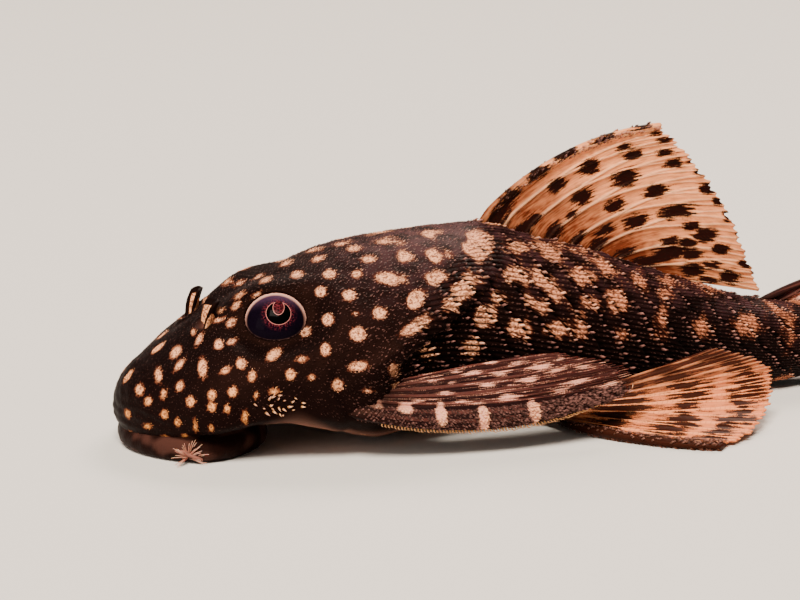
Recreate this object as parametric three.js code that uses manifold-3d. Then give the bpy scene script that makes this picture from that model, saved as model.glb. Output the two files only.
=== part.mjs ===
// A young bristlenose pleco, life size, resting on its belly with the mouth disc and pelvic fins down.
// Millimetres, +Z up. The snout points along -X, the fish's left side is -Y, and the belly lies on z = 0.
import * as THREE from 'three';
import { mergeVertices } from 'three/addons/utils/BufferGeometryUtils.js';
import Module from 'manifold-3d';

const wasm = await Module();
wasm.setup();

// Driving dimensions
const standardLength = 57; // snout tip to the end of the tail stalk
const bellyCentre = 26; // how far behind the snout the origin lies
const headEnd = 16.5; // the cut between head and trunk, at the shoulder
const trunkEnd = 36.5; // the cut between trunk and tail stalk, at the vent
const gap = 0.3; // clear space between neighbouring pieces
const noseStart = 0.04; // where the first ring of the snout lies
const noseZ = 2.4; // height of the foremost point of the snout
const noseHalfRadius = 5.5; // how far back the snout keeps rounding, seen from above
const noseTopRadius = 2.0; // the same over the top
const noseUnderRadius = 1.2; // the same underneath
const belowFloor = 5; // depth of the slab that trims what would reach under the floor
const slabSize = 200;

// The body's outline at named distances behind the snout tip: crest and underside heights,
// half width, height of the widest line, and how square the upper and lower curves are.
const stations = {
  at: [0, 2, 4, 6, 8, 10, 13, 16, 20, 25, 30, 36, 42, 48, 53, standardLength],
  crest: [5.0, 5.8, 7.3, 8.7, 9.8, 10.7, 11.9, 12.7, 13.15, 13.3, 11.8, 9.9, 7.9, 6.3, 6.2, 6.6],
  underside: [1.0, 0.9, 1.3, 1.6, 1.9, 1.8, 1.0, 0.0, -0.2, -0.2, -0.2, 0.3, 0.4, 0.3, 0.7, 1.1],
  half: [5.2, 6.2, 7.1, 7.7, 8.2, 8.6, 9.1, 9.3, 8.6, 7.4, 6.4, 5.1, 3.8, 2.7, 2.2, 2.0],
  widest: [2.7, 2.7, 3.0, 3.2, 3.5, 3.6, 3.7, 4.0, 5.2, 5.4, 5.0, 4.4, 3.8, 3.3, 3.5, 3.9],
  upper: [2.0, 1.9, 1.85, 1.85, 1.85, 1.85, 1.85, 1.85, 1.85, 1.8, 1.85, 2.0, 2.2, 2.4, 2.5, 2.5],
  lower: [3.0, 3.2, 3.4, 3.4, 3.2, 3.0, 3.0, 2.8, 2.4, 2.3, 2.5, 2.6, 2.6, 2.6, 2.6, 2.6],
};

// Fins: a fan of curved rays, each from the base through a bending point to the tip.
// The first ray is the stout spine. The lists run from the spine to the last ray.
const dorsal = {
  rays: 8, perRay: 3, rows: 7, membrane: 0.5, ray: 0.75, spine: 1.1, spineShare: 0.06,
  base: [[25.3, 0, 13.0], [29.5, 0, 11.7], [34, 0, 10.2], [38.6, 0, 8.7]],
  bend: [[30.9, 0, 19.0], [34.9, 0.3, 16.4], [38.6, 0.3, 13.1], [42.8, 0, 8.9]],
  tip: [[39.0, 0, 19.5], [41.4, 0.2, 17.3], [44.1, 0.3, 14.0], [46.1, 0.2, 10.4], [47.3, 0, 7.7]],
};
const pectoral = {
  rays: 7, perRay: 3, rows: 7, membrane: 0.55, ray: 0.8, spine: 1.3, spineShare: 0.36,
  base: [[12.6, -8.9, 3.4], [13.8, -8.5, 4.0], [15.2, -7.7, 4.4]],
  bend: [[21.7, -11.6, 0.1], [22.4, -10.9, 3.2], [22.9, -9.6, 6.3]],
  tip: [[32.8, -10, 3.3], [33.2, -9.7, 4.0], [32.2, -9.2, 5.0], [27.8, -8.4, 5.9]],
};
const pelvic = {
  rays: 6, perRay: 3, rows: 6, membrane: 0.5, ray: 0.7, spine: 0.95, spineShare: 0.1,
  base: [[28.0, -6.0, 0.7], [29.0, -5.6, 1.2], [29.8, -5.2, 1.7]],
  bend: [[32.2, -13.0, 0.1], [36.5, -9.9, 2.0], [36.0, -7.3, 4.0]],
  tip: [[36.7, -15, 0.3], [40.6, -12.9, 0.6], [43.6, -9.4, 2.0], [43.6, -8.2, 3.9], [40.5, -6.6, 4.9]],
};
const anal = {
  rays: 5, perRay: 2, rows: 5, membrane: 0.5, ray: 0.6, spine: 0.7, spineShare: 0.1,
  base: [[37.3, 0, 0.7], [38.4, 0, 0.7], [39.4, 0, 0.7]],
  bend: [[39.5, -2.2, 0.3], [41, -1.6, 0.3], [42, -0.9, 0.3]],
  tip: [[42.4, -4.6, 0.3], [44.4, -3.8, 0.3], [45.6, -2.4, 0.3]],
};
const adipose = {
  rays: 3, perRay: 2, rows: 5, membrane: 0.5, ray: 0.5, spine: 0.9, spineShare: 0.2,
  base: [[46.4, 0, 6.0], [48.2, 0, 5.9], [50.0, 0, 5.9]],
  bend: [[48.8, 0, 7.2], [50.0, 0, 6.7], [50.6, 0, 6.4]],
  tip: [[51.8, 0, 7.9], [52.0, 0, 7.1], [51.3, 0, 6.6]],
};
const caudal = {
  rays: 16, perRay: 2, rows: 6, membrane: 0.5, ray: 0.7, spine: 0.9, spineShare: 0.04,
  base: [[56.4, 0, 6.3], [57.0, 0, 5.0], [57.0, 0, 2.8], [56.4, 0, 1.4]],
  bend: [[62.5, 0, 9.2], [63, 0, 6.0], [63, 0, 2.4], [63, -0.4, 0.7]],
  tip: [[69.8, 0, 11.6], [69.0, 0, 8.4], [68.8, 0, 5.0], [70, -0.5, 2.2], [73, -1.2, 0.3]],
};

const lips = { x: 5.1, length: 4.9, width: 6.5, height: 1.7, sides: 30, rows: 4 };
const eye = { x: 10.24, y: 3.1, z: 7.82, radius: 2.4, clear: 0.2, around: 16, over: 10 };
const orbit = { forward: -0.27, out: 0.74, up: 0.61, lift: 1.3, radius: 2.05, rim: 0.45, around: 16, sides: 5 };
const nostril = { x: 5.35, y: 1.85, height: 1.6, width: 1.25, thickness: 0.5, lean: 0.1 };
const barbel = { x: 2.6, y: 5.1, z: 0.8, length: 1.6, radius: 0.4 };
const shoulder = { depth: 0.9, startX: 14.5, fullX: 19, endX: 30, frontZ: 5.2, rise: 0.55, soft: 0.9 };

// Cubic Hermite curve through the points (xs, ys), with slopes weighted from both neighbours
function smoothThrough(xs, ys, x) {
  const last = xs.length - 1;
  const step = (i) => (ys[i + 1] - ys[i]) / (xs[i + 1] - xs[i]);
  const slope = (i) => {
    if (i === 0) return step(0);
    if (i === last) return step(last - 1);
    const before = xs[i] - xs[i - 1];
    const after = xs[i + 1] - xs[i];
    return (step(i - 1) * after + step(i) * before) / (before + after);
  };
  const at = Math.min(Math.max(x, xs[0]), xs[last]);
  let i = 0;
  while (i < last - 1 && at >= xs[i + 1]) i += 1;
  const width = xs[i + 1] - xs[i];
  const t = (at - xs[i]) / width;
  const fromStart = ys[i] * (2 * t ** 3 - 3 * t ** 2 + 1) + slope(i) * width * (t ** 3 - 2 * t ** 2 + t);
  return fromStart + ys[i + 1] * (-2 * t ** 3 + 3 * t ** 2) + slope(i + 1) * width * (t ** 3 - t ** 2);
}

const clamp01 = (v) => Math.min(Math.max(v, 0), 1);

function smoothStep(from, to, v) {
  const t = clamp01((v - from) / (to - from));
  return t * t * (3 - 2 * t);
}

// Quarter-circle rise from 0 at the snout tip to 1 at the given radius
function noseRound(x, radius) {
  const k = clamp01(1 - x / radius);
  return Math.sqrt(1 - k * k);
}

function sectionAt(x) {
  const value = (name) => smoothThrough(stations.at, stations[name], x);
  const fromNose = (name, radius) => noseZ + (value(name) - noseZ) * noseRound(x, radius);
  return {
    half: value('half') * noseRound(x, noseHalfRadius),
    crest: fromNose('crest', noseTopRadius),
    underside: fromNose('underside', noseUnderRadius),
    widest: fromNose('widest', noseUnderRadius),
    upper: value('upper'),
    lower: value('lower'),
  };
}

// How far the flank is pressed in behind the shoulder, where the pectoral fin folds against it
function shoulderRecess(x, z) {
  const ridgeZ = shoulder.frontZ + (x - shoulder.startX) * shoulder.rise;
  const below = smoothStep(0, shoulder.soft, ridgeZ - z);
  const along = smoothStep(shoulder.startX, shoulder.fullX, x) * (1 - smoothStep(shoulder.fullX, shoulder.endX, x));
  return shoulder.depth * below * along;
}

// A point of the skin at distance x and angle around the section: -90 degrees is the belly line,
// 0 the fish's right side, 90 the crest, and 180 the left side. grow moves it outwards.
function skinPoint(x, angle, grow = 0) {
  const s = sectionAt(x);
  const c = Math.cos(angle);
  const v = Math.sin(angle);
  const power = 2 / (v >= 0 ? s.upper : s.lower);
  const height = v >= 0 ? s.crest - s.widest : s.widest - s.underside;
  const z = s.widest + (height + grow) * Math.sign(v) * Math.abs(v) ** power;
  const recess = shoulderRecess(x, z) * smoothStep(0, 0.4, Math.abs(c));
  const y = Math.sign(c) * Math.max((s.half + grow) * Math.abs(c) ** power - recess, 0);
  return new THREE.Vector3(x, y, z);
}

// Moves every vertex of a geometry, joins the seams, and turns the faces outwards
function shaped(geometry, place) {
  const position = geometry.attributes.position;
  const point = new THREE.Vector3();
  for (let i = 0; i < position.count; i += 1) {
    point.fromBufferAttribute(position, i);
    const to = place(point);
    position.setXYZ(i, to.x, to.y, to.z);
  }
  geometry.deleteAttribute('normal');
  geometry.deleteAttribute('uv');
  const closed = mergeVertices(geometry, 1e-4);
  if (signedVolume(closed) < 0) {
    const index = closed.index.array;
    for (let i = 0; i < index.length; i += 3) [index[i], index[i + 1]] = [index[i + 1], index[i]];
  }
  return dropThinFaces(closed);
}

function signedVolume(geometry) {
  const p = geometry.attributes.position;
  const index = geometry.index.array;
  const [a, b, c] = [new THREE.Vector3(), new THREE.Vector3(), new THREE.Vector3()];
  let sum = 0;
  for (let i = 0; i < index.length; i += 3) {
    a.fromBufferAttribute(p, index[i]);
    b.fromBufferAttribute(p, index[i + 1]);
    c.fromBufferAttribute(p, index[i + 2]);
    sum += a.dot(b.cross(c)) / 6;
  }
  return sum;
}

// Leaves out faces that lost an edge when their corners were joined
function dropThinFaces(geometry) {
  const index = geometry.index.array;
  const kept = [];
  for (let i = 0; i < index.length; i += 3) {
    const [a, b, c] = [index[i], index[i + 1], index[i + 2]];
    if (a !== b && b !== c && c !== a) kept.push(a, b, c);
  }
  geometry.setIndex(kept);
  return geometry;
}

function toSolid(geometry) {
  return new wasm.Manifold(new wasm.Mesh({
    numProp: 3,
    vertProperties: new Float32Array(geometry.attributes.position.array),
    triVerts: new Uint32Array(geometry.index.array),
  }));
}

function toGeometry(solid) {
  const mesh = solid.getMesh();
  const geometry = new THREE.BufferGeometry();
  geometry.setAttribute('position', new THREE.BufferAttribute(new Float32Array(mesh.vertProperties), 3));
  geometry.setIndex(Array.from(mesh.triVerts));
  return geometry;
}

// The largest of the pieces that a cut leaves
function largest(solid) {
  return solid.decompose().sort((a, b) => b.volume() - a.volume())[0];
}

const slab = toSolid(shaped(new THREE.BoxGeometry(slabSize, slabSize, belowFloor),
  (p) => new THREE.Vector3(p.x, p.y, p.z - belowFloor / 2)));

const aboveFloor = (solid) => solid.subtract(slab);

// A stretch of the body between two cuts: a closed cylinder laid along X, moved onto the skin
function bodyStretch(from, to, rings, sides, grow = 0) {
  const tube = new THREE.CylinderGeometry(1, 1, 1, sides, rings);
  return shaped(tube, (p) => {
    const along = clamp01(p.y + 0.5);
    // rings crowd towards the snout, where the outline turns fastest
    const x = from < 1 ? from + (to - from) * along ** 1.8 : from + (to - from) * along;
    const radius = Math.hypot(p.x, p.z);
    if (radius < 0.5) {
      const s = sectionAt(x);
      return new THREE.Vector3(x, 0, (s.crest + s.underside) / 2);
    }
    return skinPoint(x, Math.atan2(p.x, p.z), grow);
  });
}

function pointOn(list, share) {
  const steps = list.map((_, i) => i / (list.length - 1));
  const along = (axis) => smoothThrough(steps, list.map((p) => p[axis]), share);
  return new THREE.Vector3(along(0), along(1), along(2));
}

// A point of a fin's middle surface: share runs from spine to last ray, reach from base to tip
function finPoint(fin, share, reach) {
  const base = pointOn(fin.base, share);
  const bend = pointOn(fin.bend, share);
  const tip = pointOn(fin.tip, share);
  return base.multiplyScalar((1 - reach) ** 2)
    .addScaledVector(bend, 2 * reach * (1 - reach))
    .addScaledVector(tip, reach * reach);
}

// Rays stand proud of the membrane, which is also notched between their tips
function finThickness(fin, share, reach) {
  const toRay = Math.abs(Math.sin(share * (fin.rays - 1) * Math.PI));
  const soft = fin.ray + (fin.membrane - fin.ray) * toRay;
  const stout = 1 - smoothStep(fin.spineShare * 0.5, fin.spineShare, share);
  const taper = 1 - 0.25 * reach;
  return Math.max(soft, fin.spine * stout * taper + soft * (1 - stout));
}

function finSolid(fin, side) {
  const columns = (fin.rays - 1) * fin.perRay;
  const box = new THREE.BoxGeometry(1, 1, 1, columns, fin.rows, 1);
  const small = 1e-3;
  return toSolid(shaped(box, (p) => {
    const share = p.x + 0.5;
    const notch = 0.025 * Math.abs(Math.sin(share * (fin.rays - 1) * Math.PI));
    const reach = (p.y + 0.5) * (1 - notch);
    const at = finPoint(fin, share, reach);
    const across = finPoint(fin, Math.min(share + small, 1), reach)
      .sub(finPoint(fin, Math.max(share - small, 0), reach));
    const along = finPoint(fin, share, Math.min(reach + small, 1))
      .sub(finPoint(fin, share, Math.max(reach - small, 0)));
    const normal = across.cross(along).normalize();
    at.addScaledVector(normal, p.z * finThickness(fin, share, reach));
    return new THREE.Vector3(at.x, at.y * side, at.z);
  }));
}

const wholeBody = toSolid(bodyStretch(noseStart, standardLength, 40, 32, gap));
const cutFromBody = (solid) => largest(aboveFloor(solid.subtract(wholeBody)));

function eyeBall(side, grow = 0) {
  const ball = new THREE.SphereGeometry(eye.radius + grow, eye.around, eye.over);
  return toSolid(shaped(ball, (p) => new THREE.Vector3(eye.x + p.x, side * eye.y + p.y, eye.z + p.z)));
}

// The raised rim of the eye socket, a ring round the line of sight
function orbitRim(side) {
  const sight = new THREE.Vector3(orbit.forward, side * orbit.out, orbit.up).normalize();
  const turn = new THREE.Quaternion().setFromUnitVectors(new THREE.Vector3(0, 0, 1), sight);
  const ring = new THREE.TorusGeometry(orbit.radius, orbit.rim, orbit.sides, orbit.around);
  return toSolid(shaped(ring, (p) => p.clone().applyQuaternion(turn)
    .addScaledVector(sight, orbit.lift)
    .add(new THREE.Vector3(eye.x, side * eye.y, eye.z))));
}

// The sucker mouth: a soft disc under the snout, flat below and rounded at its rim
function lipDisc(grow = 0) {
  const disc = new THREE.CylinderGeometry(1, 1, 1, lips.sides, lips.rows);
  return toSolid(shaped(disc, (p) => {
    const up = p.y + 0.5;
    const round = Math.sqrt(1 - (0.75 * up) ** 2);
    const angle = Math.atan2(p.x, p.z);
    const radius = Math.hypot(p.x, p.z) < 0.5 ? 0 : round;
    return new THREE.Vector3(
      lips.x + radius * (lips.length + grow) * Math.cos(angle),
      radius * (lips.width + grow) * Math.sin(angle),
      up * (lips.height + grow),
    );
  }));
}

// A nostril's raised flap: a small leaf, hollowed towards the snout
function nostrilFlap(side) {
  const leaf = new THREE.BoxGeometry(1, 1, 1, 4, 5, 1);
  const foot = skinPoint(nostril.x, Math.acos(nostril.y / sectionAt(nostril.x).half));
  return toSolid(shaped(leaf, (p) => {
    const up = p.y + 0.5;
    const wide = nostril.width * Math.sqrt(Math.max(1 - (up * 0.94) ** 3, 0.05));
    const hollow = 1.1 * p.x * p.x;
    return new THREE.Vector3(
      nostril.x - hollow + p.z * nostril.thickness - nostril.lean * up,
      side * (nostril.y + p.x * wide + 0.25 * up),
      foot.z - 0.6 + up * (nostril.height + 0.6),
    );
  }));
}

// The short feeler at each corner of the mouth
function mouthBarbel(side) {
  const route = new THREE.QuadraticBezierCurve3(
    new THREE.Vector3(barbel.x, side * (barbel.y - 0.6), barbel.z),
    new THREE.Vector3(barbel.x + 0.4, side * (barbel.y + 0.9), barbel.z),
    new THREE.Vector3(barbel.x + barbel.length, side * (barbel.y + 1.3), barbel.z - 0.7),
  );
  const round = new THREE.Shape();
  round.absarc(0, 0, barbel.radius, 0, Math.PI * 2);
  const tube = new THREE.ExtrudeGeometry(round, { steps: 6, curveSegments: 4, extrudePath: route });
  return toSolid(shaped(tube, (p) => p.clone()));
}

const group = new THREE.Group();
group.position.x = -bellyCentre;

function add(name, solid, colour, roughness) {
  const material = new THREE.MeshStandardMaterial({ color: colour, roughness, metalness: 0 });
  const mesh = new THREE.Mesh(toGeometry(solid), material);
  mesh.name = name;
  group.add(mesh);
}

const darkSkin = '#2b1b1a';
const paleFin = '#c99a78';
const brownFin = '#5b3b33';
const lipColour = '#4a2a22';
const eyeColour = '#1d1320';

const sides = { left: -1, right: 1 };
const lipRoom = lipDisc(gap);
const lipSolid = lipDisc();

let head = toSolid(bodyStretch(noseStart, headEnd - gap / 2, 16, 26));
for (const side of Object.values(sides)) {
  head = head.add(orbitRim(side)).subtract(eyeBall(side, eye.clear));
}
add('head', largest(aboveFloor(head.subtract(lipRoom))), darkSkin, 0.5);
add('trunk', aboveFloor(toSolid(bodyStretch(headEnd + gap / 2, trunkEnd - gap / 2, 13, 28))), darkSkin, 0.5);
add('tail', aboveFloor(toSolid(bodyStretch(trunkEnd + gap / 2, standardLength, 11, 24))), darkSkin, 0.5);
add('lips', aboveFloor(lipSolid), lipColour, 0.35);
add('dorsal_fin', cutFromBody(finSolid(dorsal, 1)), paleFin, 0.45);
add('adipose_fin', cutFromBody(finSolid(adipose, 1)), brownFin, 0.45);
add('anal_fin', cutFromBody(finSolid(anal, 1)), brownFin, 0.45);
const stalkEnd = toSolid(bodyStretch(50, standardLength + gap, 6, 32, gap));
add('caudal_fin', largest(aboveFloor(finSolid(caudal, 1).subtract(stalkEnd))), paleFin, 0.45);

for (const [name, side] of Object.entries(sides)) {
  add(`eye_${name}`, eyeBall(side), eyeColour, 0.1);
  add(`nostril_${name}`, cutFromBody(nostrilFlap(side)), darkSkin, 0.45);
  add(`barbel_${name}`, largest(cutFromBody(mouthBarbel(side)).subtract(lipRoom)), brownFin, 0.5);
  add(`pectoral_fin_${name}`, cutFromBody(finSolid(pectoral, side)), brownFin, 0.5);
  add(`pelvic_fin_${name}`, cutFromBody(finSolid(pelvic, side)), brownFin, 0.5);
}

export default group;
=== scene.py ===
import math
from functools import partial

import bpy
import numpy as np
from mathutils import Matrix


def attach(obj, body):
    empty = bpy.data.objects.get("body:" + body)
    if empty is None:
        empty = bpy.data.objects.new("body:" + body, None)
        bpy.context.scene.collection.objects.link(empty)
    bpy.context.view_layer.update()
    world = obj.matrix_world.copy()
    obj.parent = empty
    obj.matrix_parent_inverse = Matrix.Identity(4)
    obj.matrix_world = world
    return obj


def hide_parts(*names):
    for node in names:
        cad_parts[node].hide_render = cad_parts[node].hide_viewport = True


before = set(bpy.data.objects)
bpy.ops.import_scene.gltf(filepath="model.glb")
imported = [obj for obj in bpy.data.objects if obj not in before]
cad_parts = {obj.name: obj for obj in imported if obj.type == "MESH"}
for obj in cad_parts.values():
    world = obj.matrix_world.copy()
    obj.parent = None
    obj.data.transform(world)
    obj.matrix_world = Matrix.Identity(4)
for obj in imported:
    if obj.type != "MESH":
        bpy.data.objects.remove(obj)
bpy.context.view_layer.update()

print("frame loaded:", len(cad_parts), "solids")

# Shapes are worked out in millimetres, with x measured backwards from the snout tip,
# y to the fish's right and z up from the ground. makeMesh turns them into the frame's metres.
originX = 26.0
metresPerMm = 0.001
bodyName = "root"
bothSides = {"left": -1, "right": 1}


def sideName(side):
    return "right" if side > 0 else "left"


# Smooth curve through the points (xs, ys): a cubic between each two, whose slope at a point
# is the mean of the chords beside it, each weighed by the other one's width
def smoothThrough(xs, ys, x):
    xs = np.asarray(xs, float)
    ys = np.asarray(ys, float)
    width = np.diff(xs)
    step = np.diff(ys) / width
    inner = (step[:-1] * width[1:] + step[1:] * width[:-1]) / (width[:-1] + width[1:])
    slope = np.concatenate([step[:1], inner, step[-1:]])
    at = np.clip(x, xs[0], xs[-1])
    i = np.clip(np.searchsorted(xs, at, side="right") - 1, 0, len(xs) - 2)
    t = (at - xs[i]) / width[i]
    start = ys[i] * (2 * t**3 - 3 * t**2 + 1) + slope[i] * width[i] * (t**3 - 2 * t**2 + t)
    return start + ys[i + 1] * (3 * t**2 - 2 * t**3) + slope[i + 1] * width[i] * (t**3 - t**2)


# 0 below low, 1 above high, and three t squared less two t cubed between them
def smoothStep(low, high, value):
    t = np.clip((value - low) / (high - low), 0, 1)
    return t * t * (3 - 2 * t)


# 1 below low and 0 above high
def fade(low, high, value):
    return 1 - smoothStep(low, high, value)


# Rises from 0 to 1 between the first two values and falls back to 0 between the last two
def hill(value, foot, top, edge, end):
    return smoothStep(foot, top, value) * fade(edge, end, value)


# A hump of height 1 at the middle, falling off as the bell curve of that width
def bell(value, middle, width):
    return np.exp(-(((value - middle) / width) ** 2))


def fraction(value):
    return value - np.floor(value)


def unit(vectors):
    return vectors / np.maximum(np.linalg.norm(vectors, axis=-1, keepdims=True), 1e-12)


# Smooth random field between -1 and 1: eight sine waves in random directions, summed and softened
def waves(points, size, seed):
    own = np.random.default_rng(seed)
    total = np.zeros(points.shape[:-1])
    for _ in range(8):
        direction = unit(own.normal(size=3)) * own.uniform(0.6, 1.4) * 2 * np.pi / size
        total += np.sin(points @ direction + own.uniform(0, 2 * np.pi))
    return np.tanh(total / 2.2)


# The camera's numbers are also used to place the markings, so they come first
view = {
    "yaw": 20.0,  # degrees that the camera stands towards the head
    "elevation": 13.0,
    "distance": 160.0,  # from the target, in mm
    "target": (22.7, 0.0, 6.0),
    "targetPixel": (440.0, 330.0),  # where the target shows in the picture
    "pixelsPerMm": 14.6,  # at the target
    "picture": (800, 600),
    "sensor": 36.0,
}


def viewAxes():
    yaw = math.radians(view["yaw"])
    rise = math.radians(view["elevation"])
    back = np.array([-math.sin(yaw) * math.cos(rise), -math.cos(yaw) * math.cos(rise), math.sin(rise)])
    right = unit(np.cross([0, 0, 1], back))
    return right, np.cross(back, right), back


viewRight, viewUp, viewBack = viewAxes()


# Where points show in the picture: their offset from the target, scaled by distance over depth
def pictureOf(points):
    offset = points - np.array(view["target"])
    scale = view["pixelsPerMm"] * view["distance"] / (view["distance"] - offset @ viewBack)
    across = view["targetPixel"][0] + scale * (offset @ viewRight)
    down = view["targetPixel"][1] - scale * (offset @ viewUp)
    return np.stack([across, down], -1)


# Mesh making
# A grid's faces: rows of quads, joined round the columns
def gridFaces(rows, columns):
    i = np.arange(rows - 1)[:, None]
    j = np.arange(columns)[None, :]
    after = (j + 1) % columns
    corners = [i * columns + j, i * columns + after, (i + 1) * columns + after, (i + 1) * columns + j]
    return np.stack(np.broadcast_arrays(*corners), -1).reshape(-1, 4)


# A ring of points closed by triangles to one point
def fanFaces(ring, pole):
    after = np.roll(ring, -1)
    return np.stack([ring, after, np.full_like(ring, pole)], -1)


# Six times the volume inside the faces is the sum of a . (b x c) over their triangles
def volumeInside(points, groups):
    total = 0.0
    for faces in groups:
        for k in range(1, faces.shape[1] - 1):
            a, b, c = points[faces[:, 0]], points[faces[:, k]], points[faces[:, k + 1]]
            total += np.einsum("ij,ij->", a, np.cross(b, c))
    return total / 6


# Corner places on the map for each face; a face over the seam gets its low side one turn on
def cornersOf(uv, faces):
    corners = uv[faces]
    wide = np.ptp(corners[..., 0], axis=1) > 0.5
    corners[..., 0] += wide[:, None] * (corners[..., 0] < 0.5)
    return corners


# Faces of a stack of rings, closed at both ends by fans to two poles that come after the rings
def closedFaces(rows, columns):
    first = np.arange(columns)[::-1]
    last = np.arange((rows - 1) * columns, rows * columns)
    return [gridFaces(rows, columns), fanFaces(first, rows * columns), fanFaces(last, rows * columns + 1)]


# The map of such a stack: rings at these heights, and each fan face's pole over its own middle
def closedMap(rows, columns, heights):
    uv = np.stack(np.meshgrid(np.arange(columns) / columns, heights), -1)
    uv = np.vstack([uv.reshape(-1, 2), [[0.5, 0.0], [0.5, 1.0]]])
    corners = [cornersOf(uv, faces) for faces in closedFaces(rows, columns)]
    for fan in (1, 2):
        corners[fan][:, 2, 0] = corners[fan][:, :2, 0].mean(axis=1)
    return corners


# Puts points, faces turned outwards, per-point attributes and per-corner map into a new object
def makeMesh(name, points, groups, material, attributes=None, uv=None):
    if volumeInside(points, groups) < 0:
        groups = [faces[:, ::-1] for faces in groups]
        uv = uv and [corners[:, ::-1] for corners in uv]
    mesh = bpy.data.meshes.new(name)
    placed = (points - np.array([originX, 0, 0])) * metresPerMm
    loops = np.concatenate([faces.ravel() for faces in groups])
    sizes = np.concatenate([np.full(len(faces), faces.shape[1]) for faces in groups])
    mesh.vertices.add(len(points))
    mesh.vertices.foreach_set("co", placed.astype(np.float32).ravel())
    mesh.loops.add(len(loops))
    mesh.loops.foreach_set("vertex_index", loops.astype(np.int32))
    mesh.polygons.add(len(sizes))
    mesh.polygons.foreach_set("loop_start", (np.cumsum(sizes) - sizes).astype(np.int32))
    mesh.polygons.foreach_set("use_smooth", np.full(len(sizes), True))
    for key, values in (attributes or {}).items():
        kind = "FLOAT" if values.ndim == 1 else "FLOAT_VECTOR"
        field = "value" if values.ndim == 1 else "vector"
        made = mesh.attributes.new(key, kind, "POINT")
        made.data.foreach_set(field, values.astype(np.float32).ravel())
    if uv is not None:
        layer = mesh.uv_layers.new(name="OFBake")
        corners = np.concatenate([part.reshape(-1, 2) for part in uv])
        layer.data.foreach_set("uv", corners.astype(np.float32).ravel())
    mesh.update(calc_edges=True)
    mesh.materials.append(material)
    piece = bpy.data.objects.new(name, mesh)
    bpy.context.scene.collection.objects.link(piece)
    return piece


# Every piece rides the one body of this still model
def settle(piece, slot, *nodes):
    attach(piece, bodyName)
    if nodes:
        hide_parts(*nodes)


# Materials
# Each look holds sRGB colours and sizes in mm.
# sRGB hex to linear: c over 12.92 for dark values, ((c + 0.055) / 1.055) to the 2.4 for the rest
def linear(hexColour):
    parts = [int(hexColour[i : i + 2], 16) / 255 for i in (1, 3, 5)]
    return [c / 12.92 if c <= 0.04045 else ((c + 0.055) / 1.055) ** 2.4 for c in parts] + [1.0]


usualOutput = {"Mix": 2, "Attribute": "Fac", "TexCoord": "Object"}


# Adds a node, sets its properties, gives each named or numbered input a value or a link, and
# returns the output that is asked for, or else the one that its kind is used for here
def addNode(tree, kind, settings, inputs, output=None):
    node = tree.nodes.new("ShaderNode" + kind)
    for key, value in settings.items():
        setattr(node, key, value)
    for key, value in inputs.items():
        if isinstance(value, bpy.types.NodeSocket):
            tree.links.new(value, node.inputs[key])
        else:
            node.inputs[key].default_value = value
    if kind != "OutputMaterial":
        return node.outputs[output or usualOutput.get(kind, 0)]


# A look with its colours turned to linear
def shades(look):
    return {key: linear(value) if isinstance(value, str) else value for key, value in look.items()}


# A new material, and what adds nodes to it
def newMaterial(name):
    material = bpy.data.materials.new(name)
    material.use_nodes = True
    tree = material.node_tree
    tree.nodes.clear()
    return material, partial(addNode, tree)


def perMetre(sizeMm):
    return 1.0 / (sizeMm * metresPerMm)


colourMix = {"data_type": "RGBA", "blend_type": "MIX"}
colourTimes = {"data_type": "RGBA", "blend_type": "MULTIPLY"}
eased = {"interpolation_type": "SMOOTHSTEP"}

# Living catfish skin: thin pigmented skin with a film of slime over rough bone plates. It is
# nearly black-brown, furrowed on the flanks, with cream spots broken by the grain of the bone.
skinLook = {
    "deep": "#060303",
    "dark": "#110807",
    # bloom: the back's own purplish brown, painted lighter on top as if lit from above
    "bloom": "#3a2224",  # the purplish brown of the upper back
    "cream": "#e9a67e",
    "gold": "#dc9040",
    "ruddy": "#c4714e",  # the spots towards the tail
    "rim": "#4c2317",  # brown edge of a spot
    "fleck": "#4e2418",  # dark grains inside a spot
    "belly": "#7a5548",
    "flesh": "#d08a78",
    "lip": "#150907",
    "sheen": "#d8866a",  # pigment cells just under the slime warm what it reflects
    "grain": 0.17,  # mm across one grain of the bone
    "mottle": 0.9,
    "bumpDepth": 0.03,
    "keelDepth": 0.07,
}


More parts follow.
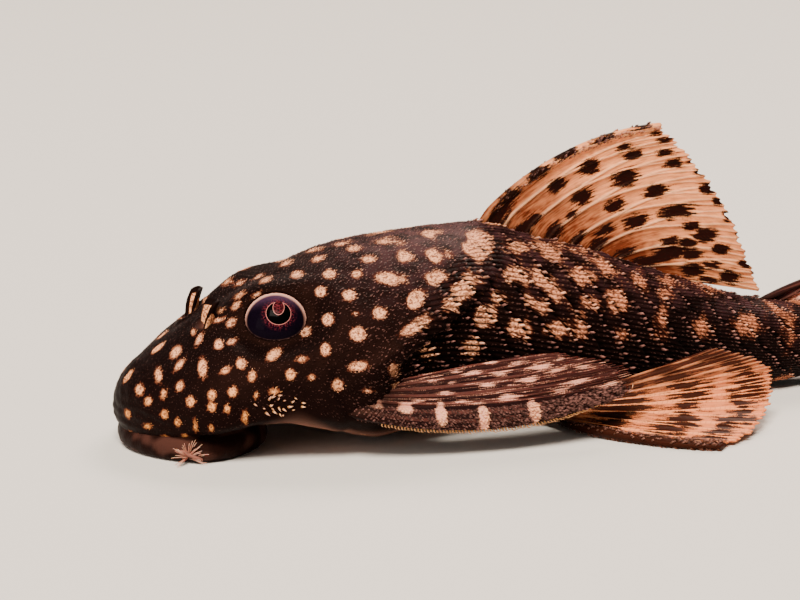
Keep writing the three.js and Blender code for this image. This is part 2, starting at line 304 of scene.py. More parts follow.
def skinMaterial():
    material, add = newMaterial("slimedBonySkin")
    look = shades(skinLook)
    place = add("TexCoord", {}, {})
    field = {
        key: add("Attribute", {"attribute_name": key}, {})
        for key in ("mark", "markSoft", "gold", "bare", "ridged", "bloom", "hollow", "flesh", "lip", "keel",
                    "ruddy")
    }
    lie = add("Attribute", {"attribute_name": "lie"}, {}, "Vector")
    grain = add("TexNoise", {}, {
        "Vector": place, "Scale": perMetre(look["grain"]), "Detail": 2.0, "Roughness": 0.6})
    mottle = add("TexNoise", {}, {
        "Vector": place, "Scale": perMetre(look["mottle"]), "Detail": 4.0, "Roughness": 0.65})
    streak = add("TexNoise", {}, {"Vector": lie, "Scale": 1.0, "Detail": 1.0})
    grainShift = add("MapRange", {}, {
        "Value": grain, "From Min": 0.25, "From Max": 0.75, "To Min": -0.13, "To Max": 0.13})
    streakShift = add("MapRange", {}, {"Value": streak, "To Min": -0.5, "To Max": 0.5})
    streakPart = add("Math", {"operation": "MULTIPLY"}, {0: streakShift, 1: field["ridged"]})
    moved = add("Math", {"operation": "ADD"}, {0: field["mark"], 1: grainShift})
    ragged = add("Math", {"operation": "ADD"}, {0: moved, 1: streakPart})
    softDown = add("Math", {"operation": "MULTIPLY"}, {0: field["markSoft"], 1: -1.0})
    spot = add("MapRange", eased, {
        "Value": ragged, "From Min": softDown, "From Max": field["markSoft"]})
    middle = add("MapRange", eased, {"Value": ragged, "From Min": 0.0, "From Max": 0.13})
    night = add("Mix", colourMix, {0: mottle, 6: look["deep"], 7: look["dark"]})
    # painted top light: the upper back lighter and purplish where the light falls on it
    lit = add("Mix", colourMix, {0: field["bloom"], 6: night, 7: look["bloom"]})
    nude = add("Mix", colourMix, {0: field["bare"], 6: lit, 7: look["belly"]})
    duller = add("Mix", colourMix, {0: field["ruddy"], 6: look["cream"], 7: look["ruddy"]})
    pale = add("Mix", colourMix, {0: field["gold"], 6: duller, 7: look["gold"]})
    flecks = add("MapRange", eased, {"Value": grain, "From Min": 0.44, "From Max": 0.6, "To Max": 0.85})
    grained = add("Mix", colourMix, {0: flecks, 6: pale, 7: look["fleck"]})
    rimmed = add("Mix", colourMix, {0: middle, 6: look["rim"], 7: grained})
    marked = add("Mix", colourMix, {0: spot, 6: nude, 7: rimmed})
    lipped = add("Mix", colourMix, {0: field["lip"], 6: marked, 7: look["lip"]})
    fleshy = add("Mix", colourMix, {0: field["flesh"], 6: lipped, 7: look["flesh"]})
    # keels: the absolute sine of the keel count, high on each keel and 0 in the furrows
    keelTurn = add("Math", {"operation": "MULTIPLY"}, {0: field["keel"], 1: math.pi})
    keelWave = add("Math", {"operation": "SINE"}, {0: keelTurn})
    keelHeight = add("Math", {"operation": "ABSOLUTE"}, {0: keelWave})
    # painted shade in the furrows between the keels, darkest at their bottoms, on the plates only
    furrowShade = add("MapRange", {}, {
        "Value": keelHeight, "From Min": 0.1, "From Max": 0.8, "To Min": 0.72, "To Max": 0.0})
    furrowShadeOnPlates = add("Math", {"operation": "MULTIPLY"}, {0: furrowShade, 1: field["ridged"]})
    # hollow darkens the colour where shade falls: behind plate edges, under the shoulder ridge, in the gill
    # crease and round the eye
    shade = add("MapRange", {}, {"Value": field["hollow"], "To Min": 1.0, "To Max": 0.15})
    darker = add("Math", {"operation": "SUBTRACT", "use_clamp": True}, {0: shade, 1: furrowShadeOnPlates})
    shaded = add("Mix", colourTimes, {0: 1.0, 6: fleshy, 7: darker})
    shine = add("MapRange", {}, {"Value": mottle, "To Min": 0.42, "To Max": 0.66})
    keelPart = add("Math", {"operation": "MULTIPLY"}, {0: keelHeight, 1: field["ridged"]})
    keelBump = add("Bump", {}, {
        "Strength": 1.0, "Distance": look["keelDepth"] * metresPerMm, "Height": keelPart})
    bump = add("Bump", {}, {
        "Strength": 0.9, "Distance": look["bumpDepth"] * metresPerMm, "Height": grain,
        "Normal": keelBump})
    surface = add("BsdfPrincipled", {}, {
        "Base Color": shaded, "Roughness": shine, "IOR": 1.4, "Specular IOR Level": 0.08,
        "Specular Tint": look["sheen"], "Normal": bump})
    add("OutputMaterial", {}, {"Surface": surface})
    return material


# Odontodes: little teeth of dentine under clear enamel, which take the skin's colour at their
# roots and turn horn-coloured and glossy at their points; that pale point colour is partly horn
# and partly a painted glint.
toothLook = {
    "dark": "#140908",
    "pale": "#ecaa82",
    "gold": "#e09a4c",
    "ruddy": "#c4714e",
    "darkTipHornAndGlint": "#d69488",
    "paleTipHornAndGlint": "#fbcdae",
    "sheen": "#f0b8a0",
}


def toothMaterial():
    material, add = newMaterial("enamelledSkinTeeth")
    look = shades(toothLook)
    field = {
        key: add("Attribute", {"attribute_name": key}, {})
        for key in ("paleness", "gold", "tip", "ruddy")
    }
    duller = add("Mix", colourMix, {0: field["ruddy"], 6: look["pale"], 7: look["ruddy"]})
    pale = add("Mix", colourMix, {0: field["gold"], 6: duller, 7: look["gold"]})
    root = add("Mix", colourMix, {0: field["paleness"], 6: look["dark"], 7: pale})
    # the points: partly horn colour and partly a painted glint, lighter on the pale teeth
    point = add("Mix", colourMix, {0: field["paleness"], 6: look["darkTipHornAndGlint"], 7: look["paleTipHornAndGlint"]})
    whole = add("Mix", colourMix, {0: field["tip"], 6: root, 7: point})
    surface = add("BsdfPrincipled", {}, {
        "Base Color": whole, "Roughness": 0.35, "IOR": 1.5, "Specular IOR Level": 0.15,
        "Specular Tint": look["sheen"]})
    add("OutputMaterial", {}, {"Surface": surface})
    return material


# Fin: two layers of thin wet skin over jointed bony rays, slightly see-through, so that it glows
# root: near black, painted shade where a fin meets the body
finLooks = {
    "pale": {
        "ground": "#ec9a66", "warm": "#5e2c18", "mark": "#170806", "root": "#170a08", "ray": "#f7c096"},
    "dusky": {
        "ground": "#1a0d0e", "warm": "#3c1e1a", "mark": "#dc9a82", "root": "#120706", "ray": "#4c2b26"},
    "peach": {
        "ground": "#cc7448", "warm": "#34170f", "mark": "#2a120b", "root": "#160a08", "ray": "#ee9a68"},
}
finSheen = "#f0b090"  # the pigment warms what the wet film reflects
finSizes = {"mottle": 0.8, "grain": 0.08, "bump": 0.02, "glow": 0.5}


def finMaterial(name, look):
    material, add = newMaterial(name)
    look = shades(look)
    place = add("TexCoord", {}, {})
    field = {
        key: add("Attribute", {"attribute_name": key}, {})
        for key in ("mark", "ray", "root", "joint", "warm")
    }
    lie = add("Attribute", {"attribute_name": "lie"}, {}, "Vector")
    streak = add("TexNoise", {}, {"Vector": lie, "Scale": 1.0, "Detail": 2.0})
    mottle = add("TexNoise", {}, {
        "Vector": place, "Scale": perMetre(finSizes["mottle"]), "Detail": 4.0})
    grain = add("TexNoise", {}, {"Vector": place, "Scale": perMetre(finSizes["grain"]), "Detail": 1.0})
    shift = add("MapRange", {}, {
        "Value": streak, "From Min": 0.2, "From Max": 0.8, "To Min": -0.22, "To Max": 0.22})
    moved = add("Math", {"operation": "ADD"}, {0: field["mark"], 1: shift})
    ragged = add("Math", {"operation": "MULTIPLY_ADD"}, {0: grain, 1: 0.3, 2: moved})
    spot = add("MapRange", eased, {"Value": ragged, "From Min": 0.08, "From Max": 0.26})
    streaked = add("Math", {"operation": "MULTIPLY_ADD"}, {0: streak, 1: 1.6, 2: mottle})
    warmth = add("Math", {"operation": "MULTIPLY_ADD", "use_clamp": True}, {
        0: streaked, 1: 0.6, 2: field["warm"]})
    ground = add("Mix", colourMix, {0: warmth, 6: look["ground"], 7: look["warm"]})
    rayed = add("Mix", colourMix, {0: field["ray"], 6: ground, 7: look["ray"]})
    marked = add("Mix", colourMix, {0: spot, 6: rayed, 7: look["mark"]})
    # joints of the rays: a narrow dark line at each turn of the sine
    jointWave = add("Math", {"operation": "SINE"}, {0: field["joint"]})
    jointLine = add("MapRange", eased, {
        "Value": jointWave, "From Min": 0.55, "From Max": 1.0, "To Max": 0.35})
    lined = add("Math", {"operation": "MULTIPLY"}, {0: jointLine, 1: field["ray"]})
    jointed = add("Mix", colourMix, {0: lined, 6: marked, 7: look["warm"]})
    # painted shade towards the fin's root, where it meets the body
    rooted = add("Mix", colourMix, {0: field["root"], 6: jointed, 7: look["root"]})
    height = add("Math", {"operation": "SUBTRACT"}, {0: grain, 1: jointLine})
    bump = add("Bump", {}, {
        "Strength": 0.6, "Distance": finSizes["bump"] * metresPerMm, "Height": height})
    surface = add("BsdfPrincipled", {}, {
        "Base Color": rooted, "Roughness": 0.42, "IOR": 1.4, "Normal": bump, "Specular IOR Level": 0.08,
        "Specular Tint": linear(finSheen), "Subsurface Weight": 0.2,
        "Subsurface Scale": finSizes["glow"] * metresPerMm})
    add("OutputMaterial", {}, {"Surface": surface})
    return material


# Fish eye: a clear wet cornea over a dark purple iris, with a fine pink line round the pupil.
# The map irisPlane holds millimetres from the pupil's middle, seen along the line of sight.
eyeLook = {
    "pupil": 0.8,  # radius, mm
    "lobe": (0.0, 0.38, 0.36, 0.54),  # the flap of iris over the pupil: place and half sizes
    "line": 0.012,
    "grain": 0.1,
    "iris": "#0d0612",
    "irisTopSheen": "#4a3048",
    "speckle": "#6a242c",
    "lineColour": "#c07870",
    "lobeColour": "#2c0b10",
    "black": "#000000",
    "rimAndGlare": "#cf9886",
}


def eyeMaterial():
    material, add = newMaterial("wetCorneaOverIris")
    look = shades(eyeLook)
    plane = add("UVMap", {"uv_map": "irisPlane"}, {})
    place = add("TexCoord", {}, {})
    rimField = add("Attribute", {"attribute_name": "rim"}, {})
    above = add("SeparateXYZ", {}, {0: plane}, "Y")
    reach = add("VectorMath", {"operation": "LENGTH"}, {0: plane}, "Value")
    lobeX, lobeY, lobeWide, lobeTall = look["lobe"]
    lobeMove = add("VectorMath", {"operation": "SUBTRACT"}, {0: plane, 1: (lobeX, lobeY, 0)})
    lobeScale = add("VectorMath", {"operation": "DIVIDE"}, {0: lobeMove, 1: (lobeWide, lobeTall, 1)})
    lobeReach = add("VectorMath", {"operation": "LENGTH"}, {0: lobeScale}, "Value")
    lobeGap = add("Math", {"operation": "MULTIPLY_ADD"}, {0: lobeReach, 1: -lobeWide, 2: lobeWide})
    discGap = add("Math", {"operation": "SUBTRACT"}, {0: reach, 1: look["pupil"]})
    # inside the pupil's black: below 0 in the disc and outside the lobe
    blackGap = add("Math", {"operation": "MAXIMUM"}, {0: discGap, 1: lobeGap})
    edge = add("Math", {"operation": "ABSOLUTE"}, {0: blackGap})
    noise = add("TexNoise", {}, {"Vector": place, "Scale": perMetre(look["grain"]), "Detail": 3.0})
    # painted sheen: the iris lighter and more purple towards its top, as if lit from above
    upward = add("MapRange", eased, {"Value": above, "From Min": 0.2, "From Max": 1.7})
    iris = add("Mix", colourMix, {0: upward, 6: look["iris"], 7: look["irisTopSheen"]})
    # red speckles gather round the pupil
    closeBy = add("MapRange", eased, {"Value": discGap, "From Min": 0.45, "From Max": 0.05})
    grains = add("MapRange", eased, {"Value": noise, "From Min": 0.48, "From Max": 0.62})
    specks = add("Math", {"operation": "MULTIPLY"}, {0: closeBy, 1: grains})
    speckled = add("Mix", colourMix, {0: specks, 6: iris, 7: look["speckle"]})
    isLobe = add("MapRange", eased, {
        "Value": lobeGap, "From Min": 0.03, "From Max": -0.03, "To Min": 1.0, "To Max": 0.0})
    lobeDots = add("Mix", colourMix, {0: grains, 6: look["lobeColour"], 7: look["speckle"]})
    lobed = add("Mix", colourMix, {0: isLobe, 6: speckled, 7: lobeDots})
    lit = add("Mix", colourTimes, {0: 0.75, 6: lobed, 7: noise})
    dark = add("MapRange", eased, {"Value": blackGap, "From Min": 0.02, "From Max": -0.03})
    pupil = add("Mix", colourMix, {0: dark, 6: lit, 7: look["black"]})
    line = add("MapRange", eased, {
        "Value": edge, "From Min": 0.0, "From Max": look["line"] + 0.012, "To Min": 1.0, "To Max": 0.0})
    lined = add("Mix", colourMix, {0: line, 6: pupil, 7: look["lineColour"]})
    # the pale rim of the eye, beyond an oval as wide as the opening; the extra on top is painted glare
    rim = add("MapRange", eased, {
        "Value": rimField, "From Min": -0.05, "From Max": 0.12, "To Max": 0.9})
    whole = add("Mix", colourMix, {0: rim, 6: lined, 7: look["rimAndGlare"]})
    surface = add("BsdfPrincipled", {}, {
        "Base Color": whole, "Roughness": 0.5, "IOR": 1.38, "Specular IOR Level": 0.01,
        "Coat Weight": 0.04, "Coat Roughness": 0.04, "Coat IOR": 1.3})
    add("OutputMaterial", {}, {"Surface": surface})
    return material


# Fringe: thin bare skin, so thin that light reddens it
fringeLook = {"root": "#6d3a2c", "tip": "#dca18a", "glow": 0.3}


def fringeMaterial():
    material, add = newMaterial("thinBareSkin")
    look = shades(fringeLook)
    tip = add("Attribute", {"attribute_name": "tip"}, {})
    whole = add("Mix", colourMix, {0: tip, 6: look["root"], 7: look["tip"]})
    surface = add("BsdfPrincipled", {}, {
        "Base Color": whole, "Roughness": 0.4, "IOR": 1.4, "Specular IOR Level": 0.35,
        "Subsurface Weight": 0.3, "Subsurface Scale": look["glow"] * metresPerMm})
    add("OutputMaterial", {}, {"Surface": surface})
    return material


skinFinish = skinMaterial()
toothFinish = toothMaterial()
eyeFinish = eyeMaterial()
fringeFinish = fringeMaterial()
finFinishes = {
    "pale": finMaterial("spottedFinSkin", finLooks["pale"]),
    "dusky": finMaterial("barredFinSkin", finLooks["dusky"]),
    "peach": finMaterial("streakedFinSkin", finLooks["peach"]),
}
print("materials made")

# The body
# Its lines through these places along it: heights of the crest, the underside and the widest
# place, half width, and the powers of the upper and the lower superellipse
body = {
    "at": [0, 2, 4, 6, 8, 10, 13, 16, 20, 25, 30, 36, 42, 48, 53, 57],
    "crest": [5.0, 5.8, 7.3, 8.7, 9.8, 10.7, 11.9, 12.7, 13.15, 13.3, 11.8, 9.9, 7.9, 6.3, 6.2, 6.6],
    "underside": [1.0, 0.9, 1.3, 1.6, 1.9, 1.8, 1.0, 0.0, -0.2, -0.2, -0.2, 0.3, 0.4, 0.3, 0.7, 1.1],
    "half": [5.2, 6.2, 7.1, 7.7, 8.2, 8.6, 9.1, 9.3, 8.6, 7.4, 6.4, 5.1, 3.8, 2.7, 2.2, 2.0],
    "widest": [2.7, 2.7, 3.0, 3.2, 3.5, 3.6, 3.7, 4.0, 5.2, 5.4, 5.0, 4.4, 3.8, 3.3, 3.5, 3.9],
    "upper": [2.0, 1.9, 1.85, 1.85, 1.85, 1.85, 1.85, 1.85, 1.85, 1.8, 1.85, 2.0, 2.2, 2.4, 2.5, 2.5],
    "lower": [3.0, 3.2, 3.4, 3.4, 3.2, 3.0, 3.0, 2.8, 2.4, 2.3, 2.5, 2.6, 2.6, 2.6, 2.6, 2.6],
    "noseZ": 2.4,
    "noseHalfRadius": 5.5,
    "noseTopRadius": 2.0,
    "noseUnderRadius": 1.2,
    "length": 57.0,
    "inset": 0.1,  # how far the skin lies inside the outer shape, for its teeth
    "wedge": 1.5,  # how far the end of the stalk reaches between the rays of the tail fin
}
grid = {
    "rings": 470,
    "columns": 192,
    "headEnd": 15.0,
    "headCrowding": 1.5,  # how much closer the rings lie on the head
    "bellyCrowding": 0.5,
    "eyeRingX": 10.0,
    "eyeMiddle": (9.9, 4.4, 8.8),
    "eyeReach": 2.6,
    "eyeRings": 0.9,  # how much closer the rings and columns lie by the eyes
    "eyeColumns": 1.6,
    "lineSteps": 4001,  # along the body, to measure its lines
    "turnSteps": 901,  # round it
    "capRings": 6,
}
shoulder = {
    "depth": 1.0,  # how far the flank is pressed in below the ridge
    "startX": 14.5,
    "fullX": 18,
    "endX": 30,
    "frontZ": 5.2,
    "rise": 0.55,
    "soft": 0.7,
}
eye = {
    "centre": (10.24, 3.1, 7.82),  # of the fish's right eye
    "radius": 2.4,
    "sight": (-0.27, 0.74, 0.61),
    "long": 1.99,  # half axes of the opening in the skin
    "tall": 1.7,
    "rim": 0.1,  # how far the skin stands over the ball at the opening
}


# Quarter circle from 0 at the snout tip to 1 at the radius
def noseRound(x, radius):
    return np.sqrt(1 - np.clip(1 - x / radius, 0, 1) ** 2)


# The body's lines at x, drawn in towards the nose by quarter circles
def sectionAt(x):
    row = {key: smoothThrough(body["at"], body[key], x) for key in
           ("crest", "underside", "half", "widest", "upper", "lower")}
    for key, radius in (("crest", "noseTopRadius"), ("underside", "noseUnderRadius"),
                        ("widest", "noseUnderRadius")):
        row[key] = body["noseZ"] + (row[key] - body["noseZ"]) * noseRound(x, body[radius])
    row["half"] = row["half"] * noseRound(x, body["noseHalfRadius"])
    return row


# Height of the shoulder's ridge: it climbs evenly with x
def ridgeHeight(x):
    return shoulder["frontZ"] + (x - shoulder["startX"]) * shoulder["rise"]


# A point of the skin: each section is two half superellipses, upper and lower, with
# y = half * cos^(2/power) and z = widest + height * sin^(2/power), pressed in behind the shoulder
def skinPoint(x, angle):
    row = sectionAt(x)
    c, v = np.cos(angle), np.sin(angle)
    power = 2 / np.where(v >= 0, row["upper"], row["lower"])
    height = np.where(v >= 0, row["crest"] - row["widest"], row["widest"] - row["underside"])
    z = row["widest"] + height * np.sign(v) * np.abs(v) ** power
    along = hill(x, shoulder["startX"], shoulder["fullX"], shoulder["fullX"] + 1, shoulder["endX"])
    recess = shoulder["depth"] * smoothStep(0, shoulder["soft"], ridgeHeight(x) - z) * along
    recess = recess * smoothStep(0, 0.4, np.abs(c))
    y = np.sign(c) * np.maximum(row["half"] * np.abs(c) ** power - recess, 0)
    return np.stack(np.broadcast_arrays(x, y, z), -1)


# Ring places: equal steps of the longest of the crest, side and belly lines, closer on the head
def ringPlaces():
    x = body["length"] * np.linspace(0, 1, grid["lineSteps"]) ** 2
    row = sectionAt(x)
    lines = [np.hypot(np.diff(x), np.diff(row[key])) for key in ("crest", "underside", "half")]
    crowding = np.where(x[1:] < grid["headEnd"], grid["headCrowding"], 1.0)
    crowding = crowding + grid["eyeRings"] * bell(x[1:], grid["eyeRingX"], grid["eyeReach"])
    length = np.concatenate([[0], np.cumsum(np.max(lines, axis=0) * crowding)])
    return np.interp(np.linspace(0, length[-1], grid["rings"]), length, x)


# Angles that split each ring into equal steps of its outline, wider on the belly, finer by the eyes
def ringAngles(x):
    angle = np.linspace(-np.pi / 2, 1.5 * np.pi, grid["turnSteps"])
    points = skinPoint(x[:, None], angle[None, :])
    middle = (angle[1:] + angle[:-1]) / 2
    step = np.linalg.norm(np.diff(points, axis=1), axis=-1) + 1e-6
    step = step * np.where(np.sin(middle) < -0.75, grid["bellyCrowding"], 1.0)
    toEye = np.linalg.norm(np.abs(points[:, 1:]) - grid["eyeMiddle"], axis=-1)
    step = step * (1 + grid["eyeColumns"] * bell(toEye, 0, grid["eyeReach"]))
    share = np.concatenate([np.zeros((len(x), 1)), np.cumsum(step, axis=1)], axis=1)
    share = share / share[:, -1:]
    ring = np.arange(len(x))[:, None]
    want = np.arange(grid["columns"])[None, :] / grid["columns"] + ring
    found = np.interp(want.ravel(), (share * (1 - 1e-9) + ring).ravel(), np.tile(angle, len(x)))
    return found.reshape(len(x), -1)


# Outward normals of the body's grid: the cross product of its two slopes, up at the crest
def gridNormals(points):
    alongRings = np.gradient(points, axis=0)
    aroundRing = np.roll(points, -1, axis=1) - np.roll(points, 1, axis=1)
    normals = unit(np.cross(aroundRing, alongRings))
    return normals if np.sum(normals[:, grid["columns"] // 2, 2]) > 0 else -normals


ringX = ringPlaces()
ringX[0] = 1e-3
angles = ringAngles(ringX)
raw = skinPoint(ringX[:, None], angles)
outward = gridNormals(raw)
inset = body["inset"] * smoothStep(0, 3, ringX)[:, None, None]
skin = raw - outward * inset
print("body grid:", skin.shape)

# Where each point lies on the fish: share round the body, 0 at the belly and 1 at the crest,
# share of the flank, and the arc length from the belly line
columnShare = np.arange(grid["columns"]) / grid["columns"]
upShare = 2 * np.minimum(columnShare, 1 - columnShare)[None, :] * np.ones((len(ringX), 1))
across = np.linalg.norm(np.diff(raw, axis=1, append=raw[:, :1]), axis=-1)
aroundMm = np.cumsum(across, axis=1) - across
bodyX = raw[..., 0]

# Relief of the skin
plates = {
    "start": 15.0,
    "length": 1.9,  # mm from one plate to the next
    "rows": 5,
    "ridges": 7,  # keels on each plate
    "step": 0.24,  # how far a plate's rear edge stands over the next
    "bulge": 0.2,  # how far the middle of a rear edge reaches back, in plate lengths
    "slant": 0.93,  # how far each row stands in front of the row below it, in plate lengths
}
reliefMm = {
    "ridge": 0.34,  # the shoulder's bony ridge
    "crease": 0.12,  # behind the gill cover
    "creaseLip": 0.05,
    "fold": 0.02,  # of the snout's lower edge
    "foldEvery": 0.62,
    "flesh": 0.07,
    "fleshSize": 5.5,
    "bone": 0.018,
    "boneSize": 1.1,
    "dorsalKeel": 0.22,
}


# The lower edge of the plated flank, as a share of the way from belly to crest
def flankFloor(x):
    return smoothThrough([0, 14, 22, 30, 40, 57], [0.36, 0.36, 0.33, 0.27, 0.14, 0.06], x)


# Which plate a point lies on. Its phase runs from 0 at the front to 1 at the rear edge:
# fraction of (x - start) / length + slant * level - bulge * (1 - (2 * across - 1)^2)
def plateAt(x, up):
    flank = (up - flankFloor(x)) / (1 - flankFloor(x))
    level = flank * plates["rows"]
    across = np.clip(level - np.floor(np.clip(level, 0, plates["rows"] - 1e-6)), 0, 1)
    bulge = plates["bulge"] * (1 - (2 * across - 1) ** 2)
    phase = (x - plates["start"]) / plates["length"] + plates["slant"] * level - bulge
    return flank, fraction(phase), across


# 1 on the ridged plates, 0 on the head, the naked belly and the smooth nape
def ridgedShare(x, up):
    onFlank = smoothStep(-0.02, 0.05, (up - flankFloor(x)) / (1 - flankFloor(x)))
    first = 17.6 + 7.6 * smoothStep(0.5, 0.95, up)
    return smoothStep(first - 1.2, first + 1.2, x) * onFlank


flank, platePhase, plateAcross = plateAt(bodyX, upShare)
ridged = ridgedShare(bodyX, upShare)
keelLevel = flank * plates["rows"] * plates["ridges"]
stepShape = platePhase**1.3 * fade(0.92, 1.0, platePhase)
edgeRound = 1 - 0.35 * (2 * np.abs(plateAcross - 0.5)) ** 4
relief = ridged * plates["step"] * (1 - 0.5 * smoothStep(34, 54, bodyX)) * stepShape * edgeRound
# painted shadow just behind each plate's rear edge, on the front of the next plate
hollow = ridged * fade(0.04, 0.38, platePhase)

# shoulder girdle: a raised bony ridge over the fold of the pectoral fin
ridgeZ = ridgeHeight(bodyX)
ridgeRun = hill(bodyX, 12.5, 15.5, 20.5, 23.5)
relief = relief + reliefMm["ridge"] * ridgeRun * bell(skin[..., 2], ridgeZ + 0.45, 0.6)
# painted shade in the recess under the ridge, above the fold of the pectoral fin
underRidge = smoothStep(0.0, 0.9, ridgeZ - skin[..., 2]) * (skin[..., 2] > 1.2)
hollow = np.maximum(hollow, 0.85 * hill(bodyX, 14.0, 17.0, 19.0, 26.0) * underRidge)

# gill cover: a soft crease behind the cheek, curving down to the belly
creaseX = 13.1 + 0.55 * np.cos((skin[..., 2] - 1.0) * 0.7)
onCrease = hill(skin[..., 2], 0.8, 1.8, 5.2, 6.6)
crease = bell(bodyX, creaseX, 0.26) * onCrease
relief = relief - reliefMm["crease"] * crease
relief = relief + reliefMm["creaseLip"] * bell(bodyX, creaseX - 0.7, 0.5) * onCrease
# painted shade in the crease
hollow = np.maximum(hollow, 0.3 * crease)

# snout: soft folds that run round its lower edge, where the bone stops
fold = fade(2.6, 4.6, skin[..., 2]) * fade(3.5, 8.0, bodyX)
foldWay = skin[..., 2] + 0.22 * bodyX + 0.12 * waves(skin, 2.2, 5)
relief = relief + reliefMm["fold"] * fold * np.sin(2 * np.pi * foldWay / reliefMm["foldEvery"])

# uneven flesh and bone under the skin
relief = relief + reliefMm["flesh"] * waves(skin, reliefMm["fleshSize"], 7) * smoothStep(1.0, 5.0, bodyX)
relief = relief + reliefMm["bone"] * waves(skin, reliefMm["boneSize"], 9) * (1 - ridged)
# a low keel along the base of the dorsal fin
relief = relief + reliefMm["dorsalKeel"] * bell(skin[..., 1], 0, 0.75) * hill(bodyX, 23, 26, 38, 44)
skin = skin + outward * relief[..., None]

nostril = {
    "x": 5.35,
    "y": 1.8,
    "height": 1.7,
    "radius": 0.8,  # of the curl of the flap
    "wrap": 1.25,  # how far the flap curls to each side, radians
    "thick": 0.24,
    "pit": 0.34,
}
farOff = 9.0  # stands for the distance from an eye or nostril of skin that it leaves alone


def eyeAxes(side):
    sight = unit(np.array(eye["sight"]) * (1, side, 1))
    along = unit(np.cross([0, 0, 1.0], sight))
    return np.array(eye["centre"]) * (1, side, 1), sight, along, np.cross(sight, along)


# Bends the skin round the eye. Heights run along the line of sight. The opening is an oval: on its
# edge the skin stands just over the ball, inside it dives under the ball, and outside it blends
# back into the head.
def shapeOrbit(points, side):
    centre, sight, along, aside = eyeAxes(side)
    offset = points - centre
    p, q, height = offset @ along, offset @ aside, offset @ sight
    oval = np.hypot(p / eye["long"], q / eye["tall"])
    edgeRadius = np.hypot(p, q) / np.maximum(oval, 1e-6)
    edge = np.sqrt(eye["radius"] ** 2 - edgeRadius**2) + eye["rim"]
    near = (height > -0.5) & (oval < 3)
    blend = fade(1.12, 2.3, oval)
    outside = height + (edge - height) * blend + 0.02 * bell(oval, 1.12, 0.1) - 0.03 * bell(oval, 1.5, 0.2)
    inside = edge + 0.02 - 0.9 * smoothStep(1.0, 0.93, oval)
    move = np.where(oval < 1.0, inside, outside) - height
    return points + np.where(near, move, 0)[..., None] * sight, np.where(near, oval, farOff)


# A shallow pit round the foot of each nostril flap, with a raised rim: two bells of the distance
def shapeNostril(points, side):
    foot = np.array([nostril["x"] + 0.45, side * (nostril["y"] + 0.1)])
    away = np.hypot(points[..., 0] - foot[0], points[..., 1] - foot[1])
    onTop = points[..., 2] > 5
    move = (-nostril["pit"] * bell(away, 0, 0.5) + 0.14 * bell(away, 0.85, 0.28)) * onTop
    return points + move[..., None] * outward, np.where(onTop, away, farOff)


eyeAway = np.full(bodyX.shape, farOff)
nostrilAway = np.full(bodyX.shape, farOff)
for side in bothSides.values():
    skin, radius = shapeOrbit(skin, side)
    eyeAway = np.minimum(eyeAway, radius)
    skin, away = shapeNostril(skin, side)
    nostrilAway = np.minimum(nostrilAway, away)
skin[..., 2] = np.maximum(skin[..., 2], 0.0)
outward = gridNormals(skin)
print("skin relief shaped")

